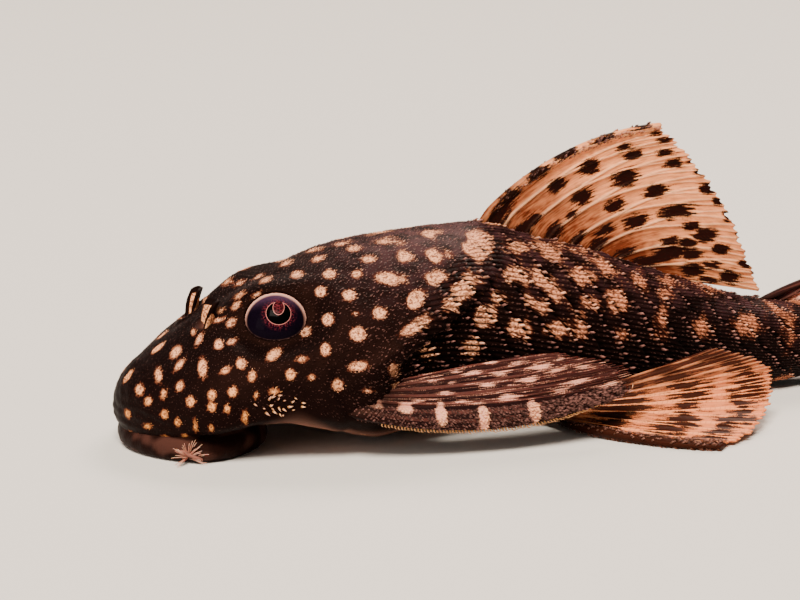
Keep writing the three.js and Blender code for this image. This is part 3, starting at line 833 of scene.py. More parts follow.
# Markings
# Cream spots on the near side. Each is [across, down, long, short, tilt] in the picture's pixels
# and degrees, and stands for an ellipsoid that cuts the skin there.
spotRows = {
    "snoutEdge": [
        [128, 414, 8, 12, 20], [128, 437, 8, 7, 0], [141, 440, 5, 8, 0], [148, 426, 12, 7, 0],
        [165, 438, 13, 8, 0], [178, 422, 9, 11, 0], [185, 437, 9, 8, 0], [195, 426, 6, 16, 0],
        [211, 428, 7, 10, 0], [246, 418, 8, 18, 0],
    ],
    "snout": [
        [140, 390, 12, 14, 0], [148, 401, 10, 12, -20], [158, 375, 10, 19, 10], [164, 393, 8, 14, -15],
        [165, 414, 10, 12, 0], [175, 352, 18, 12, 50], [179, 365, 19, 8, 52], [179, 386, 10, 14, -20],
        [190, 402, 12, 13, 0], [203, 368, 12, 24, 5], [212, 394, 11, 13, 0], [211, 406, 11, 13, 0],
        [227, 408, 9, 11, 0], [233, 392, 12, 14, 0],
    ],
    "brow": [
        [219, 344, 12, 13, 0], [232, 341, 13, 8, 20], [199, 339, 18, 8, 65], [193, 332, 7, 9, 0],
        [218, 320, 17, 6, 12], [258, 277, 14, 5, 25], [240, 284, 14, 6, 30], [231, 322, 15, 10, 45],
        [219, 310, 14, 7, 10],
        [236, 306, 15, 9, 45], [240, 295, 17, 7, 30], [257, 294, 14, 7, 30], [265, 280, 16, 8, 22],
        [286, 264, 17, 7, 20], [297, 275, 16, 10, 10], [318, 258, 17, 8, 15], [312, 251, 15, 5, 15],
        [342, 243, 18, 6, 12], [352, 249, 17, 8, 5],
    ],
    "cheek": [
        [225, 370, 14, 9, 30], [240, 364, 13, 14, 0], [252, 377, 10, 15, -10], [274, 355, 21, 13, 40],
        [291, 376, 13, 14, 0], [273, 391, 14, 8, 0], [257, 396, 6, 9, 0], [302, 358, 14, 8, 0],
        [305, 331, 15, 14, 0], [325, 350, 13, 16, 0], [312, 376, 10, 8, 0], [337, 385, 14, 15, 0],
        [358, 365, 25, 12, 8], [368, 391, 12, 6, 0],
    ],
    "temple": [
        [321, 291, 14, 14, 0], [328, 320, 15, 15, 0], [330, 274, 17, 12, 0], [356, 274, 13, 10, 0],
        [350, 296, 17, 14, 0], [378, 312, 17, 14, 0], [357, 335, 20, 17, 0], [354, 313, 7, 5, 0],
    ],
    "nape": [
        [369, 258, 18, 9, 0], [389, 242, 27, 8, 0], [406, 256, 19, 12, -8], [390, 278, 32, 14, -5],
        [429, 234, 18, 9, 0], [437, 256, 22, 12, 0], [436, 278, 18, 13, 0], [416, 300, 24, 16, 55],
    ],
    "shoulder": [
        [416, 328, 42, 13, 30], [427, 353, 19, 16, 0], [394, 371, 11, 17, 0], [398, 389, 15, 11, -30],
        [463, 292, 42, 20, 50], [470, 348, 19, 18, 0], [486, 316, 22, 20, 0],
    ],
    "trunkTop": [
        [479, 244, 26, 30, 0], [518, 247, 27, 11, -5], [547, 251, 28, 13, -35], [519, 275, 29, 14, 0],
        [548, 284, 44, 13, -40], [573, 249, 22, 5, -15], [604, 266, 32, 11, -40], [582, 275, 22, 18, 0],
    ],
    "trunkSide": [
        [499, 298, 18, 10, -20], [536, 304, 22, 10, -35], [521, 328, 21, 18, 0], [559, 330, 21, 15, 0],
        [617, 299, 20, 20, 0], [591, 304, 20, 9, -30], [581, 326, 9, 20, 0], [620, 335, 9, 8, 0],
    ],
    "stalk": [
        [638, 281, 10, 17, 0], [664, 293, 12, 11, 0], [668, 282, 14, 8, 0], [708, 286, 30, 14, -10],
        [661, 319, 8, 20, 0], [656, 334, 9, 6, 0], [747, 325, 26, 21, 0], [776, 309, 24, 9, -40],
        [702, 328, 16, 18, 0], [790, 330, 9, 30, -10],
    ],
}
marking = {
    "depth": 0.8,  # half the ellipsoid's size out of the skin, mm
    "reach": 3.5,  # a spot colours no skin further off than this
    "clear": 2.0,  # least distance between the middles of the scattered spots on the head
    "grow": ([0, 16, 24, 57], [0.86, 0.87, 1.08, 1.05]),  # along the body, against the sizes read
    "moved": 0.35,  # how far the far side's spots lie from the near ones mirrored, mm
    "cloud": 0.16,  # how unevenly the trunk's spots end, mm
    "tries": 9000,  # places tried for scattered spots
    "fillSize": 0.46,  # half size of a scattered spot on the head, mm
    "fillMore": 0.3,  # added towards the tail
    "fillLess": 0.18,  # taken off by the belly
}


# For each pixel, the point of the visible skin that shows nearest to it, and its normal
def onSkin(pixels):
    shown = (outward @ viewBack > 0.04) & (eyeAway > 1.1)
    points = skin[shown]
    seen = pictureOf(points)
    away = np.linalg.norm(seen[None] - np.asarray(pixels, float)[:, None, :2], axis=-1)
    nearest = np.argmin(away + 0.02 * (-(points @ viewBack))[None], axis=1)
    return points[nearest], outward[shown][nearest]


# Half axes of each spot: long and short ones in the picture's plane, and one out of the skin
def nearSpots():
    rows = np.array([spot for row in spotRows.values() for spot in row], float)
    centres, normals = onSkin(rows[:, :2])
    turn = np.radians(rows[:, 4])[:, None]
    half = rows[:, 2:4] / 2 / view["pixelsPerMm"] * smoothThrough(*marking["grow"], centres[:, :1])
    along = (np.cos(turn) * viewRight + np.sin(turn) * viewUp) / half[:, :1]
    aside = (-np.sin(turn) * viewRight + np.cos(turn) * viewUp) / half[:, 1:2]
    return centres, np.stack([along, aside, normals / marking["depth"]], 1), half.min(axis=1)


# The far side has its own spots: the near ones mirrored, then shifted a little
def mirrored(centres, axes, sizes):
    keep = centres[:, 1] < -1.2
    flip = np.array([1, -1, 1])
    shift = np.random.default_rng(3).normal(0, marking["moved"], (keep.sum(), 3)) * (1, 0.3, 1)
    return centres[keep] * flip + shift, axes[keep] * flip, sizes[keep]


# Fills what is left: candidate points in random order, kept where no spot lies nearby
def scattered(centres):
    own = np.random.default_rng(11)
    pictured = (outward @ viewBack > 0.12) & (skin[..., 2] > 1.5)
    pictured = pictured & (skin[..., 1] < -0.1 - 0.12 * np.clip(5 - bodyX, 0, 9))
    plain = (eyeAway > 1.35) & (nostrilAway > 1.0) & (bodyX > 0.8) & (bodyX < 55.5) & ~pictured
    points, ups, normals = skin[plain], upShare[plain], outward[plain]
    order = own.permutation(len(points))[:marking["tries"]]
    taken = centres
    chosen = []
    for k in order:
        room = marking["clear"] * (1 + 0.45 * smoothStep(12, 26, points[k, 0])) * own.uniform(0.95, 1.15)
        if np.min(np.sum((taken - points[k]) ** 2, axis=1)) > room**2:
            taken = np.vstack([taken, points[k]])
            chosen.append(k)
    chosen = np.array(chosen)
    n = normals[chosen]
    back = unit(np.array([1.0, 0, 0]) - n[:, :1] * n)
    aside = np.cross(n, back)
    growth = marking["fillSize"] + marking["fillMore"] * smoothStep(12, 26, points[chosen, 0])
    growth = growth - marking["fillLess"] * (ups[chosen] < 0.3)
    size = growth * own.uniform(0.85, 1.15, len(chosen))
    longer = own.uniform(1.0, 1.5, len(chosen))
    axes = np.stack([back / (size * longer)[:, None], aside / size[:, None], n / marking["depth"]], 1)
    return points[chosen], axes, size


nearCentres, nearAxes, nearSizes = nearSpots()
farCentres, farAxes, farSizes = mirrored(nearCentres, nearAxes, nearSizes)
pairCentres = np.vstack([nearCentres, farCentres])
fillCentres, fillAxes, fillSizes = scattered(pairCentres)
spotCentres = np.vstack([pairCentres, fillCentres])
spotAxes = np.concatenate([nearAxes, farAxes, fillAxes])
spotSizes = np.concatenate([nearSizes, farSizes, fillSizes])
print("spots:", len(nearCentres), "read,", len(farCentres), "mirrored,", len(fillCentres), "scattered")


# How deep points lie inside the nearest spot, in mm: (1 - length of the offset in the spot's
# own half axes) times its small half size, the largest over all spots; below 0 is outside
def markAt(points):
    flat = points.reshape(-1, 3)
    best = np.full(len(flat), -1.0)
    for centre, axes, size in zip(spotCentres, spotAxes, spotSizes):
        near = np.flatnonzero(np.abs(flat - centre).max(axis=1) < marking["reach"])
        if len(near):
            inner = (1 - np.linalg.norm((flat[near] - centre) @ axes.T, axis=1)) * size
            best[near] = np.maximum(best[near], inner)
    cloud = marking["cloud"] * smoothStep(14, 22, flat[:, 0]) * waves(flat, 1.3, 41)
    return (best + cloud * (best > -0.6)).reshape(points.shape[:-1])


# Half width of a spot's edge: crisp on the head, blurred towards the tail
def softAt(x):
    return smoothThrough([0, 14, 26, 40, 57], [0.05, 0.08, 0.2, 0.36, 0.45], x)


# Spots are golden low on the snout, where the height less a fifth of x is small, and on its
# crown, above a line that climbs with x
def goldAt(points):
    low = fade(1.5, 6.5, points[..., 2] - 0.2 * points[..., 0])
    crown = smoothStep(0.5, 1.8, points[..., 2] - (3.2 + 0.72 * points[..., 0])) * (points[..., 0] < 13)
    return np.clip(0.85 * low * fade(8, 15, points[..., 0]) + 0.7 * crown, 0, 1)


# The spots redden and dull from the shoulder to the tail
def ruddyAt(x):
    return 0.85 * smoothStep(13, 42, x)


mark = markAt(skin)
mark = np.where(eyeAway < 1.02, -0.5, mark)
bareShare = fade(0.16, 0.24, upShare) * hill(bodyX, 6, 12, 34, 40)
# the upper back is painted lighter and more purple, as if lit from above, in clouds; partly its own purplish
# brown
purpleTopLightShare = smoothStep(0.5, 0.95, upShare) * smoothStep(11, 20, bodyX) * 0.9
purpleTopLightShare = purpleTopLightShare + 0.35 * smoothStep(40, 50, bodyX) * smoothStep(0.2, 0.8, upShare)
purpleTopLightShare = np.clip(purpleTopLightShare * (0.6 + 0.6 * waves(skin, 1.5, 27)), 0, 1)
# painted shade in a ring round each eye
hollow = np.clip(hollow + 0.5 * bell(eyeAway, 1.2, 0.3), 0, 1)
fleshShare = 0.2 * bell(nostrilAway, 0, 0.4)
lie = np.stack([bodyX / 0.85, aroundMm / 0.13, np.zeros_like(bodyX)], -1)

skinFields = {
    "mark": mark, "markSoft": softAt(bodyX), "gold": goldAt(skin), "bare": bareShare, "ridged": ridged,
    "bloom": purpleTopLightShare, "hollow": hollow, "flesh": fleshShare, "lie": lie,
    "keel": keelLevel, "lip": np.zeros_like(bodyX), "ruddy": ruddyAt(bodyX),
}


sheetHeight = 0.93  # the part of its own map that the two faces of a thin solid take


# A thin solid round a middle surface: its two faces lie half a thickness off it along the
# normals, the columns run over one face and back over the other, and strips close the two ends
def sheetSolid(middle, normals, half):
    rows, columns = middle.shape[:2]
    shift = normals * half[..., None]
    ring = np.concatenate([middle + shift, (middle - shift)[:, ::-1]], axis=1)
    j = np.arange(columns - 1)
    strip = np.stack([j, j + 1, 2 * columns - 2 - j, 2 * columns - 1 - j], -1)
    groups = [gridFaces(rows, 2 * columns), strip[:, ::-1], strip + (rows - 1) * 2 * columns]
    heights = sheetHeight * np.arange(rows) / (rows - 1)
    uv = np.stack(np.meshgrid(np.arange(2 * columns) / (2 * columns), heights), -1)
    corners = [cornersOf(uv.reshape(-1, 2), groups[0])]
    for floor in (0.95, 0.98):
        low = np.stack([j / columns, np.full(len(j), floor)], -1)
        step = np.array([1 / columns, 0])
        quad = np.stack([low, low + step, low + step + (0, 0.01), low + (0, 0.01)], 1)
        corners.append(quad[:, ::-1] if floor == 0.95 else quad)
    return ring.reshape(-1, 3), groups, corners


# The same field on both faces of such a solid
def onBothFaces(values):
    return np.concatenate([values, values[:, ::-1]], axis=1).reshape((-1,) + values.shape[2:])


# Joins closed bodies into one: each is (points, groups, corners, fields)
def joined(parts):
    start = 0
    points, groups, corners, fields = [], [], [], {}
    for own, faces, places, values in parts:
        points.append(own)
        groups += [part + start for part in faces]
        corners += places
        for key, value in values.items():
            fields.setdefault(key, []).append(value)
        start += len(own)
    return np.concatenate(points), groups, corners, {key: np.concatenate(v) for key, v in fields.items()}


# Faces and their map turned so that the volume inside is above 0
def turnedOut(points, groups, corners):
    if volumeInside(points, groups) < 0:
        return [faces[:, ::-1] for faces in groups], [part[:, ::-1] for part in corners]
    return groups, corners


# Fields of a small part of the skin that is neither marked nor ridged, unless it says so
def plainFields(count, **given):
    fields = {key: np.zeros(count) for key in skinFields if key != "lie"}
    fields["lie"] = np.zeros((count, 3))
    fields["mark"] = np.full(count, -1.0)
    fields["markSoft"] = np.full(count, 0.05)
    fields.update(given)
    return fields


bakeHeight = 0.86  # the part of the map that the body takes; small parts lie above it
bakeMargin = 0.002


# The map of the body: across is the share round it, up is the share of the rings
def bodyPlace(ring, column):
    share = ring / (grid["rings"] + grid["capRings"] + 2)
    return np.stack([column / grid["columns"], bakeMargin + (bakeHeight - 2 * bakeMargin) * share], -1)


# The body closed into one solid: its end is rounded by rings that shrink as the cosine of a turn
# while they move back by its sine, and a fan closes each end
def bodySkin():
    rows, columns = bodyX.shape
    turn = np.linspace(0, np.pi / 2, grid["capRings"] + 2)[1:-1]
    centre = skin[-1].mean(axis=0)
    shrink = np.stack([np.ones_like(turn), np.cos(turn), 1 - 0.3 * np.sin(turn) ** 2], -1)
    cap = centre + (skin[-1][None] - centre) * shrink[:, None]
    cap[..., 0] += body["wedge"] * np.sin(turn)[:, None]
    points = np.concatenate([skin, cap]).reshape(-1, 3)
    points = np.vstack([points, [[0.0, 0.0, body["noseZ"]]], [centre + (body["wedge"], 0, 0)]])
    total = rows + len(turn)
    groups = closedFaces(total, columns)
    fields = {}
    for key, values in skinFields.items():
        flat = values.reshape((rows * columns,) + values.shape[2:])
        tail = np.concatenate([values[-1]] * len(turn))
        fields[key] = np.concatenate([flat, tail, values[0, :1], values[-1, :1]])
    ring, column = np.meshgrid(np.arange(total), np.arange(columns), indexing="ij")
    uv = bodyPlace(ring, column).reshape(-1, 2)
    uv = np.vstack([uv, [[0.5, 0.0]], [[0.5, bakeHeight]]])
    corners = [cornersOf(uv, groups[0])]
    for fan, height in ((groups[1], 0.0), (groups[2], bakeHeight)):  # each fan face gets its own tip
        part = cornersOf(uv, fan)
        part[:, 2] = np.stack([part[:, :2, 0].mean(axis=1), np.full(len(fan), height)], -1)
        wide = np.abs(part[:, 0, 0] - part[:, 1, 0]) > 0.5
        part[wide, 2, 0] = 1.0
        corners.append(part)
    groups, corners = turnedOut(points, groups, corners)
    return points, groups, corners, fields


# Moves a part's map into its own window above the body's
def windowed(corners, left, width):
    low, tall, wide = bakeHeight + 0.01, 0.98 - bakeHeight, 0.98 * width
    return [np.stack([left + wide * part[..., 0], low + tall * part[..., 1]], -1) for part in corners]


# A nostril's flap: a sheet curled round an upright line and open towards the snout, whose top
# edge falls away at both sides as the root of 1 - share^5, and leans back as the cube of the
# height. It is pale inside and black along its edge.
def nostrilFlap(side, window):
    share = np.linspace(-1, 1, 25)[None, :]
    reach = np.linspace(0, 1, 15)[:, None]
    foot = sectionAt(np.array([nostril["x"]]))
    level = foot["widest"] + (foot["crest"] - foot["widest"]) * (
        1 - (nostril["y"] / foot["half"]) ** foot["upper"]) ** (1 / foot["upper"])
    turn = share * nostril["wrap"] * (1 - 0.1 * reach)
    radius = nostril["radius"] * (0.85 + 0.3 * reach)
    tall = nostril["height"] * (0.62 + 0.38 * np.sqrt(1 - 0.98 * np.abs(share) ** 5))
    x = nostril["x"] - 0.05 + radius * np.cos(turn) + 0.3 * reach**3 + 0.12 * np.sin(3 * turn)
    y = side * (nostril["y"] + radius * np.sin(turn) + 0.15 * reach)
    z = level - 0.55 + reach * (tall + 0.55) + 0 * share
    middle = np.stack(np.broadcast_arrays(x, y, z), -1)
    normals = unit(np.cross(np.gradient(middle, axis=1), np.gradient(middle, axis=0)))
    outer = normals[7, 12, 0] > 0
    edgeward = np.maximum(reach, np.abs(share))
    half = nostril["thick"] / 2 * (1 - 0.2 * smoothStep(0.92, 1.0, edgeward))
    points, groups, corners = sheetSolid(middle, normals, half)
    inside = 0.3 - 0.8 * smoothStep(0.76, 0.88, edgeward)
    outside = 0.3 - 0.8 * smoothStep(0.6, 0.74, reach + 0.1 * np.sin(4 * turn))
    faces = (outside, inside) if outer else (inside, outside)
    mark = np.concatenate([faces[0], faces[1][:, ::-1]], axis=1).ravel()
    fields = plainFields(len(points), mark=mark, gold=np.full(len(points), 0.3))
    groups, corners = turnedOut(points, groups, corners)
    return points, groups, windowed(corners, window, 0.15), fields


# Mouth disc: a profile of radius and height carried round an oval, scalloped at its rim
lips = {
    "x": 5.1,
    "length": 4.8,
    "width": 6.4,
    "profile": [(0.0, 2.9), (0.6, 2.7), (0.82, 2.1), (0.93, 1.6), (0.99, 1.1), (1.0, 0.65), (0.975, 0.25),
                (0.92, 0.04), (0.8, 0.0), (0.5, 0.03), (0.3, 0.05), (0.24, 0.4), (0.0, 0.6)],
    "scallops": 34,
    "columns": 110,
    "rows": 40,
}


def lipDisc():
    shares = np.linspace(0, 1, len(lips["profile"]))
    radii, heights = np.array(lips["profile"]).T
    share = np.linspace(0, 1, lips["rows"])[1:-1, None]
    angle = 2 * np.pi * np.arange(lips["columns"])[None, :] / lips["columns"]
    radius = smoothThrough(shares, radii, share)
    height = smoothThrough(shares, heights, share) + 0 * angle
    nearRim = bell(share, 0.42, 0.14)
    scallops = 0.006 * np.cos(lips["scallops"] * angle) + 0.02 * np.cos(5 * angle + 1)
    radius = radius * (1 + nearRim * scallops)
    x = lips["x"] - lips["length"] * radius * np.cos(angle)
    y = lips["width"] * radius * np.sin(angle)
    points = np.stack([x, y, height], -1)
    ridges = 0.05 * waves(points, 0.9, 21) * smoothStep(0.62, 0.7, share)
    points[..., 2] = np.maximum(points[..., 2] + np.abs(ridges), 0.0)
    rows, columns = points.shape[:2]
    poles = [[lips["x"], 0, heights[0]], [lips["x"], 0, heights[-1]]]
    everything = np.vstack([points.reshape(-1, 3), poles])
    corners = closedMap(rows, columns, 0.04 + 0.92 * np.arange(rows) / rows)
    groups, corners = turnedOut(everything, closedFaces(rows, columns), corners)
    fields = plainFields(len(everything), lip=np.clip(0.9 + 0.1 * waves(everything, 2.5, 23), 0, 1),
                         flesh=0.06 * smoothStep(-0.3, 0.9, waves(everything, 1.6, 25)))
    return everything, groups, windowed(corners, 0.34, 0.3), fields


# A tapered tube: a circle whose radius shrinks to a point along a bent path
def taperedTube(path, radii, sides):
    along = unit(np.gradient(path, axis=0))
    aside = unit(np.cross(along, [0.05, 0.1, 1.0]))
    over = np.cross(aside, along)
    angle = 2 * np.pi * np.arange(sides) / sides
    ring = np.cos(angle)[None, :, None] * aside[:, None] + np.sin(angle)[None, :, None] * over[:, None]
    points = (path[:, None] + ring * radii[:, None, None]).reshape(-1, 3)
    count = len(path)
    points = np.vstack([points, [path[0]], [path[-1] + along[-1] * radii[-1]]])
    corners = closedMap(count, sides, 0.05 + 0.9 * np.arange(count) / (count - 1))
    return points, *turnedOut(points, closedFaces(count, sides), corners)


barbel = {"x": 2.6, "y": 5.1, "z": 0.8, "length": 1.6, "radius": 0.32}


# A barbel: a tube along a bent path, whose radius falls by 0.8 of t to the 1.5
def mouthBarbel(side, window):
    t = np.linspace(0, 1, 12)[:, None]
    start = np.array([barbel["x"], side * (barbel["y"] - 0.6), barbel["z"]])
    bend = np.array([barbel["x"] + 0.4, side * (barbel["y"] + 0.9), barbel["z"] + 0.1])
    tip = np.array([barbel["x"] + barbel["length"], side * (barbel["y"] + 1.3), barbel["z"] - 0.45])
    path = (1 - t) ** 2 * start + 2 * t * (1 - t) * bend + t**2 * tip
    points, groups, corners = taperedTube(path, barbel["radius"] * (1 - 0.8 * t[:, 0] ** 1.5), 10)
    fields = plainFields(len(points), lip=np.full(len(points), 0.9), flesh=np.full(len(points), 0.35))
    return points, groups, windowed(corners, window, 0.1), fields


parts = [bodySkin(), nostrilFlap(-1, 0.01), nostrilFlap(1, 0.17), lipDisc(), mouthBarbel(-1, 0.66),
         mouthBarbel(1, 0.78)]
points, groups, corners, fields = joined(parts)
skinPiece = makeMesh("skin", points, groups, skinFinish, fields, corners)
settle(skinPiece, "skin", "head", "trunk", "tail", "lips", "nostril_left", "nostril_right", "barbel_left",
       "barbel_right")
print("skin made:", len(skinPiece.data.polygons), "faces")

# Eyes
# Each ball has its poles on the line of sight, with the map irisPlane as its places in
# millimetres across that line and up from the pupil's middle
eyeGrid = {"rings": 40, "columns": 64, "pupilAt": (-0.24, -0.03)}


def makeEye(name, side):
    centre, sight, sideways, upward = eyeAxes(side)
    turn = np.linspace(0, np.pi, eyeGrid["rings"] + 2)[1:-1, None]
    roll = 2 * np.pi * np.arange(eyeGrid["columns"])[None, :] / eyeGrid["columns"]
    flatX = (np.sin(turn) * np.cos(roll)).ravel()[:, None]
    flatY = (np.sin(turn) * np.sin(roll)).ravel()[:, None]
    deep = (np.cos(turn) * np.ones_like(roll)).ravel()[:, None]
    ball = np.vstack([flatX * sideways + flatY * upward + deep * sight, [sight], [-sight]])
    points = centre + ball * eye["radius"]
    groups = closedFaces(eyeGrid["rings"], eyeGrid["columns"])
    oval = np.hypot(ball @ sideways / eye["long"], ball @ upward / eye["tall"]) * eye["radius"]
    # rim: the pale band outside the oval, widened on top by painted glare
    rim = oval - 1.01 + 0.2 * smoothStep(-0.5, 0.7, ball @ upward) + (ball @ sight < 0)
    piece = makeMesh(name, points, groups, eyeFinish, {"rim": rim})
    plane = np.stack([ball @ sideways * side, ball @ upward], -1) * eye["radius"] - eyeGrid["pupilAt"]
    corners = np.empty(len(piece.data.loops), np.int32)
    piece.data.loops.foreach_get("vertex_index", corners)
    layer = piece.data.uv_layers.new(name="irisPlane")
    layer.data.foreach_set("uv", plane[corners].astype(np.float32).ravel())
    return piece


for name, side in bothSides.items():
    settle(makeEye("eyeball_" + name, side), "eye", "eye_" + name)
print("eyes made")

# Fins
# Each fin is a fan of curved rays. base, bend and tip list points from its spine to its last
# ray. The fan's front is its spine, up to spineShare, and tuck pulls its root into the body.
# dark gives where the painted shade at its root, where it meets the body, ends, cool how far its
# ground keeps from the warm colour, and shown how strongly its rays stand out in colour.
fins = {
    "dorsal": {
        "base": [[24.9, 0, 13.1], [29.5, 0, 11.7], [34, 0, 10.2], [38.6, 0, 8.7]],
        "bend": [[30.9, 0, 19.0], [34.9, 0.3, 16.4], [38.6, 0.3, 12.8], [42.8, 0, 7.8]],
        "tip": [[39.0, 0, 19.5], [41.4, 0.2, 17.3], [44.1, 0.3, 14.0], [46.1, 0.2, 10.1], [47.3, 0, 6.9]],
        "rays": 9, "spine": 0.38, "spineShare": 0.05, "fray": 0.014, "columns": 190, "rows": 100,
        "tuck": (0, 0, -0.5),
        "seed": 51, "dark": (0.0, 0.1), "cool": 0.6, "shown": 0.4, "finish": "pale", "slot": "pale_fin",
        "paired": False,
    },
    "pectoral": {
        "base": [[11.9, -8.9, 3.5], [13.6, -8.5, 4.1], [15.2, -7.7, 4.4]],
        "bend": [[21.7, -11.6, 0.1], [22.4, -10.9, 3.2], [22.9, -9.6, 6.3]],
        "tip": [[32.8, -10, 3.3], [33.2, -9.7, 4.0], [32.2, -9.2, 5.0], [27.8, -8.4, 5.9]],
        "rays": 8, "spine": 0.5, "spineShare": 0.33, "fray": 0.05, "columns": 180, "rows": 100,
        "tuck": (-0.4, 1.5, 0.1),
        "seed": 53, "dark": (0.05, 0.26), "cool": 0.75, "shown": 1.0, "finish": "dusky", "slot": "dark_fin",
        "paired": True,
    },
    "pelvic": {
        "base": [[28.0, -6.0, 0.7], [29.0, -5.6, 1.2], [29.8, -5.2, 1.7]],
        "bend": [[32.2, -13.0, 0.1], [36.5, -9.9, 2.0], [36.0, -7.3, 4.0]],
        "tip": [[36.7, -15, 0.3], [40.6, -12.9, 0.6], [43.6, -9.4, 2.0], [43.6, -8.2, 3.9],
                [40.5, -6.6, 4.9]],
        "rays": 9, "spine": 0.36, "spineShare": 0.08, "fray": 0.02, "columns": 200, "rows": 90,
        "tuck": (-0.2, 0.9, 0.2),
        "seed": 55, "dark": (0.04, 0.22), "cool": 0.78, "shown": 0.65, "finish": "peach", "slot": "pale_fin",
        "paired": True,
    },
    "anal": {
        "base": [[37.3, 0, 0.7], [38.4, 0, 0.7], [39.4, 0, 0.7]],
        "bend": [[39.5, -2.2, 0.3], [41, -1.6, 0.3], [42, -0.9, 0.3]],
        "tip": [[42.4, -4.6, 0.3], [44.4, -3.8, 0.3], [45.6, -2.4, 0.3]],
        "rays": 5, "spine": 0.2, "spineShare": 0.1, "fray": 0.04, "columns": 70, "rows": 40,
        "tuck": (0, 0, 0.2),
        "seed": 57, "dark": (0, 0.2), "cool": 0.6, "shown": 1.0, "finish": "peach", "slot": "dark_fin",
        "paired": False,
    },
    "adipose": {
        "base": [[46.4, 0, 6.0], [48.2, 0, 5.9], [50.0, 0, 5.9]],
        "bend": [[48.8, 0, 7.2], [50.0, 0, 6.7], [50.6, 0, 6.4]],
        "tip": [[51.8, 0, 7.9], [52.0, 0, 7.1], [51.3, 0, 6.6]],
        "rays": 3, "spine": 0.3, "spineShare": 0.3, "fray": 0.02, "columns": 50, "rows": 40,
        "tuck": (0, 0, -0.3),
        "seed": 59, "dark": (0.1, 0.4), "cool": 0.6, "shown": 1.0, "finish": "dusky", "slot": "dark_fin",
        "paired": False,
    },
    "caudal": {
        "base": [[56.4, 0, 6.3], [57.0, 0, 5.0], [57.0, 0, 2.8], [56.4, 0, 1.4]],
        "bend": [[62.5, 0, 9.2], [63, 0, 6.0], [63, 0, 2.4], [63, -0.4, 0.7]],
        "tip": [[69.8, 0, 11.6], [69.0, 0, 8.4], [68.8, 0, 5.0], [70, -0.5, 2.2], [73, -1.2, 0.3]],
        "rays": 16, "spine": 0.3, "spineShare": 0.03, "fray": 0.035, "columns": 230, "rows": 90,
        "tuck": (-0.4, 0, 0),
        "seed": 61, "dark": (0.02, 0.16), "cool": 0.66, "shown": 0.5, "finish": "pale", "slot": "pale_fin",
        "paired": False,
    },
}
finShape = {
    "membrane": 0.045,  # half its thickness, mm
    "rayBase": 0.14,  # a ray's radius at its base and its tip
    "rayTip": 0.06,
    "pleat": 0.05,
    "jointEvery": 0.34,
    "ragged": 0.007,  # how unevenly the rays end, as a share of their length
}


# The point at a share of the way through a list of points, on a smooth curve
def pointOn(corners, share):
    corners = np.array(corners, float)
    steps = np.linspace(0, 1, len(corners))
    return np.stack([smoothThrough(steps, corners[:, axis], share) for axis in range(3)], -1)


# (1 - t)^2 base + 2 t (1 - t) bend + t^2 tip, with each of the three taken at the share
def finPoint(fin, share, reach):
    t = reach[..., None]
    base, bend, tip = (pointOn(fin[key], share) for key in ("base", "bend", "tip"))
    return (1 - t) ** 2 * base + 2 * t * (1 - t) * bend + t**2 * tip


# How far a share of the fan lies from the nearest branch of a ray, in widths between rays.
# A ray forks twice on its way out: | | |v| - c1 | - c2 | with c1 and c2 growing from 0.
def branchGap(fin, share, reach):
    place = share * (fin["rays"] - 1)
    v = np.abs(place - np.round(place))
    first = 0.25 * smoothStep(0.3, 0.75, reach)
    second = 0.125 * smoothStep(0.6, 1.0, reach)
    return np.abs(np.abs(v - first) - second)


# The middle surface, its normals, its half thickness, and what the finish needs to know. The
# thickness is the membrane's, plus a half circle over each branch of a ray, or the spine's arch,
# which is a sine across it. Pleats are a cosine with one wave for each ray.
def finGrid(fin):
    share = np.linspace(0, 1, fin["columns"])[None, :] * np.ones((fin["rows"], 1))
    reach = (np.linspace(0, 1, fin["rows"]) ** 0.95)[:, None] * np.ones((1, fin["columns"]))
    own = np.random.default_rng(fin["seed"])
    gap = branchGap(fin, share[0], np.ones(fin["columns"]))
    branch = np.round(share[0] * (4 * fin["rays"] - 1)).astype(int)
    ragged = finShape["ragged"] * own.normal(size=4 * fin["rays"])[branch]
    cut = fin["fray"] * smoothStep(0.02, 0.11, gap) + np.clip(ragged, -0.02, 0.02) + 0.02
    cut = cut * smoothStep(0, 0.06, share[0]) * np.ones_like(share)
    reach = reach * (1 - cut * smoothStep(0.5, 1.0, reach))
    middle = finPoint(fin, share, reach)
    middle = middle + np.array(fin["tuck"]) * fade(0, 0.12, reach)[..., None]
    acrossStep = np.gradient(middle, axis=1)
    normals = unit(np.cross(acrossStep, np.gradient(middle, axis=0)))
    pitchMm = np.linalg.norm(acrossStep, axis=-1) * (fin["columns"] - 1) / (fin["rays"] - 1)
    gapMm = branchGap(fin, share, reach) * pitchMm
    rayRadius = finShape["rayBase"] + (finShape["rayTip"] - finShape["rayBase"]) * reach
    ray = np.sqrt(np.maximum(1 - (gapMm / (1.15 * rayRadius)) ** 2, 0))
    spineWay = np.clip(share / fin["spineShare"], 0, 1)
    spine = np.sin(np.pi * np.clip(0.9 * spineWay + 0.1, 0, 1)) ** 0.6 * (spineWay < 1)
    spineHalf = fin["spine"] * (1 - 0.65 * reach) * (0.45 + 0.55 * smoothStep(0.05, 0.25, reach)) * spine
    half = finShape["membrane"] + np.maximum(rayRadius * ray * (spineWay >= 0.8), spineHalf)
    soft = fade(0.7, 1.0, 1 - spineWay)
    half = half * (1 - 0.7 * smoothStep(0.985, 1.0, reach / reach[-1:]))
    fold = finShape["pleat"] * np.cos(2 * np.pi * share * (fin["rays"] - 1)) * smoothStep(0, 0.4, reach)
    fold = fold * smoothStep(0.9, 1.3, share / fin["spineShare"])
    middle = middle + normals * fold[..., None]
    alongMm = np.cumsum(np.linalg.norm(np.diff(middle, axis=0, prepend=middle[:1]), axis=-1), axis=0)
    return {"share": share, "reach": reach, "middle": middle, "normals": normals, "half": half,
            "ray": ray * soft, "gapMm": gapMm, "alongMm": alongMm, "pitchMm": pitchMm}


